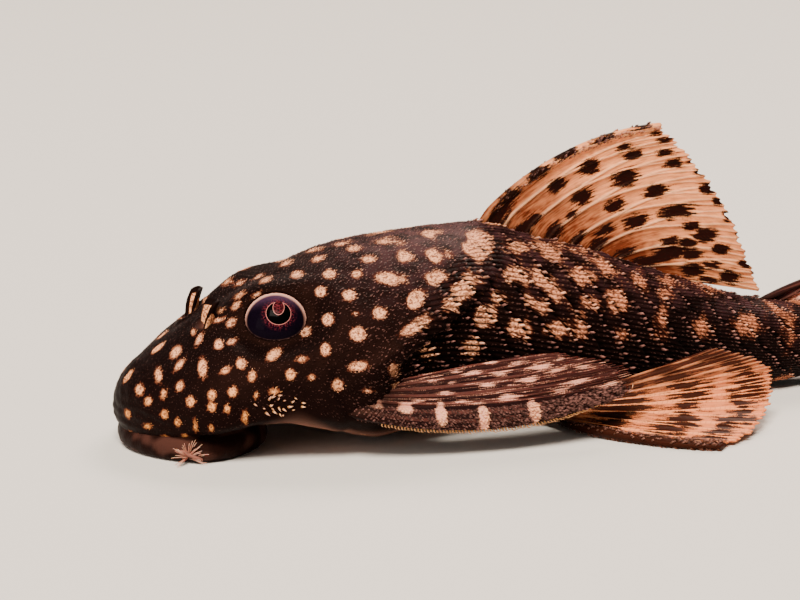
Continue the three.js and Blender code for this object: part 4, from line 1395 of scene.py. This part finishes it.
# 0 on a ray and 1 on the skin between two
def betweenRays(shape):
    return np.clip(shape["gapMm"] / finShape["rayBase"], 0, 1)


# Spots on a fin seen in the photo: each [across, down, long, short] in pixels lies along the ray
# there. A point's mark is (1 - its offset in half sizes) times the short half size, in mm.
def picturedMarks(shape, rows):
    seen = pictureOf(shape["middle"])
    ahead = np.gradient(seen, axis=0)
    best = np.full(seen.shape[:2], -1.0)
    for across, down, long, short in rows:
        offset = seen - (across, down)
        at = np.unravel_index(np.argmin(np.linalg.norm(offset, axis=-1)), best.shape)
        way = unit(ahead[at])
        p = (offset @ way) / (long / 2)
        q = (offset @ np.array([-way[1], way[0]])) / (short / 2)
        best = np.maximum(best, (1 - np.hypot(p, q)) * min(short, 12) / 2 / view["pixelsPerMm"])
    return best


dorsalSpots = [
    [537, 173, 28, 12], [564, 153, 26, 12], [602, 138, 24, 9], [641, 126, 20, 6], [508, 198, 34, 14],
    [556, 185, 24, 14], [589, 167, 25, 17], [624, 147, 18, 9], [633, 154, 20, 12], [664, 140, 16, 8],
    [582, 196, 26, 16], [625, 178, 30, 20], [666, 152, 22, 9], [674, 163, 22, 10], [615, 205, 22, 16],
    [656, 191, 30, 14], [636, 221, 30, 15], [676, 211, 38, 16], [708, 188, 22, 13], [691, 226, 20, 11],
    [704, 235, 30, 16], [729, 215, 16, 13], [687, 243, 24, 12], [691, 254, 26, 12], [721, 249, 20, 13],
    [693, 270, 28, 16], [729, 277, 22, 16], [742, 236, 12, 12], [522, 230, 30, 17], [554, 232, 24, 16],
    [596, 245, 28, 12], [651, 260, 42, 12], [533, 220, 18, 11], [605, 230, 24, 10], [670, 241, 24, 10],
    [498, 216, 36, 18], [572, 214, 16, 8], [745, 264, 16, 10], [625, 252, 26, 9], [577, 239, 22, 10],
    [700, 172, 16, 8], [690, 160, 14, 7], [718, 202, 14, 8], [740, 225, 12, 9], [751, 250, 12, 9],
    [757, 273, 12, 9], [655, 133, 14, 6], [712, 265, 22, 9], [708, 280, 24, 8], [672, 252, 40, 16],
]
pectoralSpots = [
    [375, 404, 18, 12], [405, 408, 18, 14], [440, 413, 12, 30], [482, 417, 12, 32], [532, 411, 12, 26],
    [585, 414, 14, 8], [418, 401, 22, 6], [461, 401, 24, 6], [444, 393, 26, 6], [452, 383, 20, 5],
    [433, 382, 20, 4], [456, 372, 20, 6], [472, 373, 24, 7], [487, 386, 24, 8], [501, 374, 28, 7],
    [508, 397, 26, 10], [518, 363, 30, 6], [528, 380, 28, 8], [539, 368, 34, 9], [555, 371, 32, 7],
    [561, 391, 28, 7], [577, 382, 36, 8], [585, 367, 34, 6], [610, 384, 34, 6], [603, 362, 32, 5],
    [625, 376, 20, 5], [630, 391, 10, 5], [490, 363, 22, 5], [560, 360, 26, 5],
]


# What a fin's finish reads at each point; lie has one unit for 1.1 mm along the rays
def finFields(fin, shape, mark, warm):
    lie = np.stack([shape["alongMm"] / 1.1, shape["share"] * shape["pitchMm"].mean() * 40, 0 * mark], -1)
    fields = {
        "mark": mark,
        "warm": warm - fin["cool"],
        # painted shade at the root, where the fin meets the body
        "root": fade(*fin["dark"], shape["reach"]),
        "ray": fin["shown"] * shape["ray"],
        "lie": lie,
        "joint": shape["alongMm"] * 2 * np.pi / finShape["jointEvery"],
    }
    return {key: onBothFaces(values) for key, values in fields.items()}


# Makes a fin, or the pair, from its surface, its marks and how warm its ground is
def makeFin(key, shape, mark, warm):
    fin = fins[key]
    ends = {"_" + name: side for name, side in bothSides.items()} if fin["paired"] else {"": -1}
    for end, side in ends.items():
        points, groups, corners = sheetSolid(shape["middle"], shape["normals"], shape["half"])
        points = points * (1, -side, 1)
        points[:, 2] = np.maximum(points[:, 2], 0.02)
        piece = makeMesh(key + "Fin" + end, points, groups, finFinishes[fin["finish"]],
                         finFields(fin, shape, mark, warm), corners)
        settle(piece, fin["slot"], key + "_fin" + end)


dorsalShape = finGrid(fins["dorsal"])
dorsalMark = picturedMarks(dorsalShape, dorsalSpots)
dorsalWarm = 0.35 * smoothStep(0.3, 1.0, dorsalShape["share"])
dorsalWarm = dorsalWarm + 0.7 * fade(0.1, 0.6, dorsalShape["reach"])
makeFin("dorsal", dorsalShape, dorsalMark, dorsalWarm)

pectoralShape = finGrid(fins["pectoral"])
pectoralMark = 1.4 * picturedMarks(pectoralShape, pectoralSpots) - 0.04
onRays = smoothStep(0.3, 0.4, pectoralShape["share"])
pectoralMark = pectoralMark - 0.15 * onRays * betweenRays(pectoralShape)
pectoralFlow = np.stack([pectoralShape["alongMm"] / 4, 26 * pectoralShape["share"], 0 * pectoralMark], -1)
pectoralMark = np.maximum(pectoralMark, 0.16 * waves(pectoralFlow, 1.0, 35) - 0.19 - (1 - onRays))
pectoralWarm = 0.5 * smoothStep(0.3, 0.9, pectoralShape["reach"])
pectoralWarm = pectoralWarm * smoothStep(0.3, 0.5, pectoralShape["share"])
makeFin("pectoral", pectoralShape, pectoralMark, pectoralWarm)

# pelvic fin: dark dashes on the skin between pale rays, in three bands, dusky towards the body
pelvicShape = finGrid(fins["pelvic"])
pelvicBetween = betweenRays(pelvicShape)
pelvicWay = pelvicShape["reach"] + 0.035 * waves(pelvicShape["middle"], 2.2, 33)
pelvicBands = ((0.28, 1.3), (0.56, 1.0), (0.84, 0.9))  # place along the rays, and width
pelvicOff = np.min([np.abs(pelvicWay - at) / wide for at, wide in pelvicBands], axis=0)
pelvicMark = 3.0 * (0.1 - pelvicOff) * (0.2 + 0.8 * pelvicBetween) - 0.14 * (1 - pelvicBetween)
pelvicMark = np.maximum(pelvicMark, 0.3 - 4.5 * pelvicShape["share"])
pelvicDusk = smoothStep(0.5, 0.9, pelvicShape["share"])
pelvicWarm = 1.1 * pelvicDusk + 0.5 * fade(0.05, 0.35, pelvicShape["reach"])
pelvicDim = pelvicDusk * (0.35 + 0.5 * smoothStep(0.12, 0.05, pelvicOff))
pelvicShape["ray"] = pelvicShape["ray"] * (1 - pelvicDim)
makeFin("pelvic", pelvicShape, pelvicMark, pelvicWarm)

analShape = finGrid(fins["anal"])
analMark = (0.1 - np.min([np.abs(analShape["reach"] - b) for b in (0.35, 0.75)], axis=0)) * 4
makeFin("anal", analShape, analMark, 0 * analMark)

adiposeShape = finGrid(fins["adipose"])
adiposeMark = 0.6 * (adiposeShape["share"] - 0.7)
makeFin("adipose", adiposeShape, adiposeMark, 0 * adiposeMark)

# tail fin: staggered blotches of dark on the pale fin, of random sizes
caudalShape = finGrid(fins["caudal"])


# Strewn spots: rows across the fan at even steps along it, each spot moved and sized at random.
# A point's mark is (1 - its offset in half sizes) times the half width, in mm.
def strewnMarks(shape, rows, inRow, half, seed):
    own = np.random.default_rng(seed)
    best = np.full(shape["share"].shape, -1.0)
    wide = shape["pitchMm"] * (inRow - 1)
    for k in range(rows):
        fewer = max(3, round(inRow * (0.4 + 0.6 * (k + 0.75) / rows)))
        for j in range(fewer):
            reach = (k + 0.75 + own.uniform(-0.25, 0.25)) / (rows + 0.4)
            share = (j + 0.25 + 0.5 * (k % 2) + own.uniform(-0.25, 0.25)) / fewer
            size = half * own.uniform(0.7, 1.3) * (0.6 + 0.6 * reach)
            p = (shape["reach"] - reach) * shape["alongMm"][-1] / (size * own.uniform(1.2, 2.0))
            q = (shape["share"] - share) * wide / size
            best = np.maximum(best, (1 - np.hypot(p, q)) * size)
    return best


caudalMark = strewnMarks(caudalShape, 6, 7, 0.5, 63)
caudalWarm = 0.7 * smoothStep(0.3, 0.5, np.abs(caudalShape["share"] - 0.5))
makeFin("caudal", caudalShape, caudalMark, caudalWarm)
print("fins made")

# Coat of skin teeth
# A tooth rises from a square root, bends back and ends in a point. back is the way it leans,
# lift the angle at which it stands off the skin.
toothPatch = 0.003  # size of one tooth on the map OFBake


def makeTeeth(name, root, back, normal, length, width, lift, paleness, gold, paintedGlint, place, detailed=False):
    count = len(root)
    aside = unit(np.cross(normal, back))
    along = np.cross(aside, normal)
    length, width, lift, paleness, gold, paintedGlint = (
        np.broadcast_to(np.asarray(value, float), count)[:, None] for value in
        (length, width, lift, paleness, gold, paintedGlint))
    ways = np.array([[-1, -1], [1, -1], [1, 1], [-1, 1]])
    base = [root - 0.06 * normal + a * width / 2 * aside + b * width * 0.6 * along for a, b in ways]
    axis = np.cos(lift) * along + np.sin(lift) * normal
    over = np.cos(lift) * normal - np.sin(lift) * along
    tip = root + length * axis - 0.12 * length * over
    if detailed:
        centre = root + length * (0.5 * axis + 0.1 * over)
        ring = [centre + a * width * 0.36 * aside - b * width * 0.3 * over for a, b in ways]
        corners, tips = base + ring + [tip], np.array([0, 0, 0, 0, 0.5, 0.5, 0.5, 0.5, 1.0])
        quads = [[3, 2, 1, 0], [0, 1, 5, 4], [1, 2, 6, 5], [2, 3, 7, 6], [3, 0, 4, 7]]
        tris = [[4, 5, 8], [5, 6, 8], [6, 7, 8], [7, 4, 8]]
        flat = np.vstack([ways * 0.5, ways * 0.25, [[0, 0]]])
    else:
        corners, tips = base + [tip], np.array([0, 0, 0, 0, 1.0])
        quads = [[3, 2, 1, 0]]
        tris = [[0, 1, 4], [1, 2, 4], [2, 3, 4], [3, 0, 4]]
        flat = np.vstack([ways * 0.5, [[0, 0]]])
    each = len(corners)
    points = np.stack(corners, 1).reshape(-1, 3)
    points[:, 2] = np.maximum(points[:, 2], 0.0)
    start = np.arange(count)[:, None] * each
    uv = (place[:, None] + flat[None] * toothPatch).reshape(-1, 2)
    groups = [start + np.array([face]) for face in quads] + [start + np.array([face]) for face in tris]
    fields = {
        "paleness": np.repeat(paleness[:, 0], each), "gold": np.repeat(gold[:, 0], each),
        "ruddy": np.repeat(ruddyAt(root[:, 0]), each),
        # tip: how far each corner takes the painted glint colour of the point, 0 at the root
        "tip": (paintedGlint * tips[None]).ravel(),
    }
    corners = [uv[faces] for faces in groups]
    settle(makeMesh(name, points, groups, toothFinish, fields, corners), "skin")


# Values of a body field between its grid points, wrapping round the body
def onBody(values, ring, column):
    i = np.clip(np.floor(ring).astype(int), 0, values.shape[0] - 2)
    j = np.floor(column).astype(int) % values.shape[1]
    k = (j + 1) % values.shape[1]
    a, b = ring - i, column - np.floor(column)
    a, b = (a[:, None], b[:, None]) if values.ndim == 3 else (a, b)
    return ((1 - a) * (1 - b) * values[i, j] + (1 - a) * b * values[i, k]
            + a * (1 - b) * values[i + 1, j] + a * b * values[i + 1, k])


# Roots, normals and backward ways of teeth at these places of the body
def stand(ring, column):
    root = onBody(skin, ring, column)
    normal = unit(onBody(outward, ring, column))
    ahead = onBody(skin, np.minimum(ring + 2, grid["rings"] - 1.001), column) - root
    back = unit(ahead - np.sum(ahead * normal, axis=1, keepdims=True) * normal)
    return root, normal, back


# 1 for a tooth that stands on a spot, with the spot's own soft edge times the blur
def palenessAt(root, blur):
    soft = softAt(root[:, 0]) * blur
    return smoothStep(-soft, soft, markAt(root))


# A tooth leans aside at random, in radians
def astray(back, normal, spread, own):
    turn = own.normal(0, spread, len(back))[:, None]
    return unit(back * np.cos(turn) + np.cross(normal, back) * np.sin(turn))


# paintedGlint: how strongly the points of the granules are painted as glinting
granules = {"perSquareMm": 20.0, "length": 0.15, "width": 0.1, "lift": 0.45, "paintedGlint": 0.3}


# Granules of the head and nape: the grid's cells, taken in order, get one each time that their
# summed area times the wanted density passes a whole number
def makeGranules():
    own = np.random.default_rng(71)
    cell = np.linalg.norm(np.cross(np.gradient(skin, axis=0), np.gradient(skin, axis=1)), axis=-1)
    bony = (1 - ridged) * fade(24, 27, bodyX) * smoothStep(0.1, 0.5, bodyX)
    bony = bony * (upShare > 0.25) * (1 - bareShare) * (eyeAway > 1.06) * (nostrilAway > 0.7)
    bony = bony * smoothStep(-0.2, 0.25, skin[..., 2] - 1.4 - 0.12 * bodyX)
    total = np.cumsum((cell * bony * granules["perSquareMm"]).ravel())
    want = np.arange(0.5, total[-1]) + own.uniform(-0.3, 0.3, int(total[-1] + 0.5))
    at = np.clip(np.searchsorted(total, want), 0, skin.shape[0] * skin.shape[1] - 1)
    ring = at // grid["columns"] + own.uniform(-0.5, 0.5, len(at))
    column = at % grid["columns"] + own.uniform(-0.5, 0.5, len(at))
    ring = np.clip(ring, 0.5, grid["rings"] - 3)
    root, normal, back = stand(ring, column)
    size = own.uniform(0.75, 1.25, len(at)) * (0.8 + 0.4 * smoothStep(4, 16, root[:, 0]))
    paintedGlint = granules["paintedGlint"] * own.uniform(0, 1, len(at)) ** 2
    paintedGlint = paintedGlint * (0.5 + 1.2 * smoothStep(10, 22, root[:, 0]))
    makeTeeth("headGranules", root, astray(back, normal, 0.35, own), normal, granules["length"] * size,
              granules["width"] * size, granules["lift"], palenessAt(root, 1.1),
              onBody(goldAt(skin), ring, column), paintedGlint, bodyPlace(ring, column))
    print("head granules:", len(at))


# Teeth of the plates: on each keel of each plate, at these shares of its length
keelTeeth = {
    "at": [0.3, 0.46, 0.62, 0.78, 0.93],
    "length": [0.16, 0.18, 0.2, 0.24, 0.4],
    "lift": [0.15, 0.18, 0.2, 0.26, 0.5],
    "width": [0.1, 0.1, 0.11, 0.12, 0.15],
    # paintedGlint: painted highlight on the points, strongest on the big teeth at each plate's rear edge
    "paintedGlint": [0.05, 0.1, 0.16, 0.35, 1.0],
}


# Rows of teeth on the keels: x = start + length * (plate + way + bulge - slant * level), the
# inverse of the plates' phase, so that they stand on the relief
def makeKeelTeeth(side):
    own = np.random.default_rng(73 + side)
    count = plates["rows"] * plates["ridges"]
    keel = np.arange(count)[:, None, None]
    step = np.arange(-2, 30)[None, :, None]
    way = np.array(keelTeeth["at"])[None, None, :]
    level = (keel + 0.5) / plates["ridges"]
    bulge = plates["bulge"] * (1 - (2 * fraction(level) - 1) ** 2)
    x = plates["start"] + plates["length"] * (step + way + bulge - plates["slant"] * level)
    x = x + own.normal(0, 0.09, x.shape)
    floor = flankFloor(x)
    up = floor + (1 - floor) * (keel + 0.5 + own.normal(0, 0.1, x.shape)) / count
    which = np.broadcast_to(np.arange(len(keelTeeth["at"]))[None, None, :], x.shape)
    x, up, which = x.ravel(), up.ravel(), which.ravel()
    keep = (x > plates["start"] - 0.5) & (x < 56.3) & (up < 0.995)
    keep &= (ridgedShare(x, up) > own.uniform(0.15, 0.6, len(x))) & (own.uniform(0, 1, len(x)) > 0.12)
    x, up, which = x[keep], up[keep], which[keep]
    ring = np.interp(x, ringX, np.arange(len(ringX)))
    column = (up / 2 if side > 0 else 1 - up / 2) * grid["columns"]
    root, normal, back = stand(ring, column)
    size = own.uniform(0.6, 1.3, len(x)) * (1 - 0.35 * smoothStep(34, 52, x))
    length, lift, width, paintedGlint = (
        np.array(keelTeeth[key])[which] for key in ("length", "lift", "width", "paintedGlint"))
    makeTeeth("keelTeeth_" + sideName(side), root, astray(back, normal, 0.12, own), normal,
              length * size, width * size, lift, palenessAt(root, 1.4), 0 * x,
              paintedGlint * own.uniform(0.15, 1, len(x)), bodyPlace(ring, column), True)
    print("keel teeth:", len(x))


makeGranules()
for side in bothSides.values():
    makeKeelTeeth(side)

# Hooked spines of the gill cover, in a tuft at the cheek
cheekSpines = {
    "pixels": [
        [262, 410], [271, 400], [277, 401], [287, 401], [284, 407], [277, 408], [291, 411], [268, 405],
        [282, 396], [293, 403], [273, 413], [299, 408], [258, 404], [265, 399], [280, 412], [288, 407],
        [295, 398], [270, 408], [275, 396], [303, 403], [286, 415], [266, 414]],
    "length": 0.34,
    "width": 0.12,
}


# Their roots lie under the pixels, moved a little, and mirrored for the far side
def makeCheekSpines():
    own = np.random.default_rng(79)
    pixels = np.array(cheekSpines["pixels"])
    roots, _ = onSkin(pixels + own.normal(0, 1.6, pixels.shape))
    flat = skin.reshape(-1, 3)
    nearest = np.array([np.argmin(np.sum((flat - root) ** 2, axis=1)) for root in roots])
    ring, column = nearest // grid["columns"], nearest % grid["columns"]
    columns = np.concatenate([column, (grid["columns"] - column) % grid["columns"]]).astype(float)
    rings = np.tile(ring, 2).astype(float)
    root, normal, back = stand(rings, columns)
    count = len(root)
    size = own.uniform(0.6, 1.3, count)
    makeTeeth("cheekSpines", root, astray(back, normal, 0.8, own), normal, cheekSpines["length"] * size,
              cheekSpines["width"] * size, own.uniform(0.5, 1.2, count), own.uniform(0.3, 0.9, count),
              1.0, 0.8, bodyPlace(rings, columns), True)


makeCheekSpines()


# Teeth on a fin's spine: places are shares across and along, on one face or on its edge
def finStand(shape, share, reach, face):
    rows, columns = shape["middle"].shape[:2]
    i = np.clip(np.round(reach * (rows - 1)).astype(int), 1, rows - 2)
    j = np.clip(np.round(share * (columns - 1)).astype(int), 1, columns - 2)
    normal = shape["normals"][i, j] * face[:, None]
    root = shape["middle"][i, j] + normal * shape["half"][i, j][:, None]
    back = unit(shape["middle"][i + 1, j] - shape["middle"][i - 1, j])
    out = unit(shape["middle"][i, j - 1] - shape["middle"][i, j + 1])
    side = np.where(face > 0, j, 2 * columns - 1 - j)
    place = np.stack([side / (2 * columns), sheetHeight * i / (rows - 1)], -1)
    return root, normal, back, out, place, (i, j)


# how many, how far across the fan they reach, and their length in mm
spineTeeth = {"pectoral": (2400, 0.34, 0.2), "pelvic": (420, 0.09, 0.22), "dorsal": (260, 0.06, 0.2)}
edgeTeeth = {"first": 15, "length": 0.46, "width": 0.12, "lift": 0.55}


# Teeth strewn over both faces of a spine, pale on its pale marks
def makeSpineTeeth(name, shape, mark, side, palest):
    count, reachOver, length = spineTeeth[name]
    own = np.random.default_rng(83)
    share = own.uniform(0.004, reachOver, count)
    reach = (np.arange(count) + own.uniform(0, 1, count)) / count * 0.9 + 0.07
    face = own.choice([-1.0, 1.0], count)
    root, normal, back, out, place, (i, j) = finStand(shape, share, reach, face)
    way = unit(back + 0.45 * out + 0.15 * own.normal(size=(count, 3)))
    # the teeth stay dark in the painted shade at the spine's root
    pale = smoothStep(-0.06, 0.1, mark[i, j]) * palest * smoothStep(0.02, 0.2, reach)
    flip = np.array([1, side * -1.0, 1])
    size = own.uniform(0.7, 1.3, count) * (0.7 + 0.8 * reach)
    makeTeeth(name + "SpineTeeth_" + sideName(side), root * flip, way * flip, normal * flip,
              length * size, 0.11 * size, 0.4, pale, 0 * reach, own.uniform(0.02, 0.4, count), place, True)


# A row of strong teeth along the front edge of the pectoral spine, longer towards its end
def makeEdgeTeeth(side):
    own = np.random.default_rng(89)
    rows = pectoralShape["middle"].shape[0]
    reach = np.arange(edgeTeeth["first"], rows - 2) / (rows - 1)
    share = np.zeros(len(reach))
    root, normal, back, out, place, _ = finStand(pectoralShape, share, reach, np.ones(len(reach)))
    root = root - normal * (pectoralShape["half"][1:2, 1] * 0.8)
    flip = np.array([1, side * -1.0, 1])
    size = own.uniform(0.8, 1.2, len(reach)) * (0.5 + 1.0 * reach**1.5)
    makeTeeth("pectoralEdgeTeeth_" + sideName(side), root * flip, back * flip, out * flip,
              edgeTeeth["length"] * size, edgeTeeth["width"], edgeTeeth["lift"], 0.8, 1.0, 0.6, place, True)


for side in bothSides.values():
    makeSpineTeeth("pectoral", pectoralShape, pectoralMark, side, 0.9)
    makeSpineTeeth("pelvic", pelvicShape, 0 * pelvicMark, side, 0.3)
    makeEdgeTeeth(side)
makeSpineTeeth("dorsal", dorsalShape, -dorsalMark, -1, 0.5)
print("teeth made")

# Fringe at each corner of the mouth: fine threads that fan out from one root
fringe = {"root": (3.4, -5.85, 0.4), "threads": 34, "length": 1.6, "radius": 0.05}


# Threads at even angles round a half turn, each bent down as the square of the way along it
def makeFringe(side):
    own = np.random.default_rng(97)
    parts = []
    t = np.linspace(0, 1, 7)[:, None]
    for k in range(fringe["threads"]):
        turn = -0.25 + (math.pi + 0.5) * k / (fringe["threads"] - 1) + own.normal(0, 0.1)
        way = np.array([math.cos(turn), -0.5 + own.normal(0, 0.2), math.sin(turn)])
        length = fringe["length"] * own.uniform(0.7, 1.15) * (0.75 + 0.25 * abs(math.sin(turn)))
        path = np.array(fringe["root"]) + unit(way) * length * t + np.array([0, -0.1, -0.15]) * t**2
        path[:, 2] = np.maximum(path[:, 2], 0.08)
        points, groups, corners = taperedTube(path, fringe["radius"] * (1 - 0.75 * t[:, 0]), 5)
        shift = np.array([0.03 + 0.12 * (k % 7), 0.05 + 0.18 * (k // 7)])
        corners = [shift + part * (0.1, 0.15) for part in corners]
        tip = np.concatenate([np.repeat(t[:, 0], 5), [0.0, 1.0]])
        parts.append((points * (1, side * -1.0, 1), groups, corners, {"tip": tip}))
    points, groups, corners, fields = joined(parts)
    name = "mouthFringe_" + sideName(side)
    settle(makeMesh(name, points, groups, fringeFinish, fields, corners), "lip_skin")


for side in bothSides.values():
    makeFringe(side)
print("fringe made")

# Floor, lights and camera
stage = {
    "floor": "#cfccc6",
    "floorHalf": 3.0,  # metres
    "world": 0.26,
    "lights": {  # place and target in mm, width and height in mm, watts, colour
        "key": ((-500, -900, 1700), (22, 0, 5), (900, 700), 110.0, "#fff2e4"),
        "fill": ((-1500, -500, 500), (15, 0, 5), (900, 900), 12.0, "#fff0e6"),
        "rim": ((900, 1100, 1300), (30, 0, 8), (900, 500), 36.0, "#ffe6d6"),
    },
}


# Millimetres of the fish to the frame's metres
def toFrame(point):
    return (np.array(point, float) - (originX, 0, 0)) * metresPerMm


# Turns a lamp or camera so that its back points this way
def aim(piece, back):
    right = unit(np.cross([0, 0, 1.0], back))
    upward = np.cross(back, right)
    piece.rotation_euler = Matrix(np.stack([right, upward, back], 1).tolist()).to_euler()


def makeStage():
    floor = bpy.data.meshes.new("floor")
    half = stage["floorHalf"]
    corners = [(-half, -half, 0), (half, -half, 0), (half, half, 0), (-half, half, 0)]
    floor.from_pydata(corners, [], [(0, 1, 2, 3)])
    finish, add = newMaterial("paleStudioFloor")
    surface = add("BsdfPrincipled", {}, {"Base Color": linear(stage["floor"]), "Roughness": 0.8})
    add("OutputMaterial", {}, {"Surface": surface})
    floor.materials.append(finish)
    piece = bpy.data.objects.new("floor", floor)
    bpy.context.scene.collection.objects.link(piece)
    world = bpy.data.worlds.new("studio")
    bpy.context.scene.world = world
    world.use_nodes = True
    ground = world.node_tree.nodes["Background"]
    ground.inputs["Color"].default_value = linear(stage["floor"])
    ground.inputs["Strength"].default_value = stage["world"]
    for name, (place, target, size, watts, colour) in stage["lights"].items():
        light = bpy.data.lights.new(name, "AREA")
        light.shape = "RECTANGLE"
        light.size, light.size_y = np.array(size) * metresPerMm
        light.energy = watts
        light.color = linear(colour)[:3]
        lamp = bpy.data.objects.new(name, light)
        lamp.location = toFrame(place)
        aim(lamp, unit(np.array(place, float) - np.array(target, float)))
        bpy.context.scene.collection.objects.link(lamp)


# Lens = sensor width times pixels per mm, times the distance, over the picture's width. The
# target shows at its own pixel by shifting the lens by the part of the width that it is off.
def makeCamera():
    camera = bpy.data.cameras.new("camera")
    width, height = view["picture"]
    camera.sensor_width = view["sensor"]
    camera.lens = view["sensor"] * view["pixelsPerMm"] * view["distance"] / width
    camera.shift_x = (width / 2 - view["targetPixel"][0]) / width
    camera.shift_y = (view["targetPixel"][1] - height / 2) / width
    camera.clip_start = 0.01
    camera.clip_end = 20.0
    piece = bpy.data.objects.new("camera", camera)
    piece.location = toFrame(np.array(view["target"]) + viewBack * view["distance"])
    aim(piece, viewBack)
    bpy.context.scene.collection.objects.link(piece)
    bpy.context.scene.camera = piece


makeStage()
makeCamera()
print("stage made")
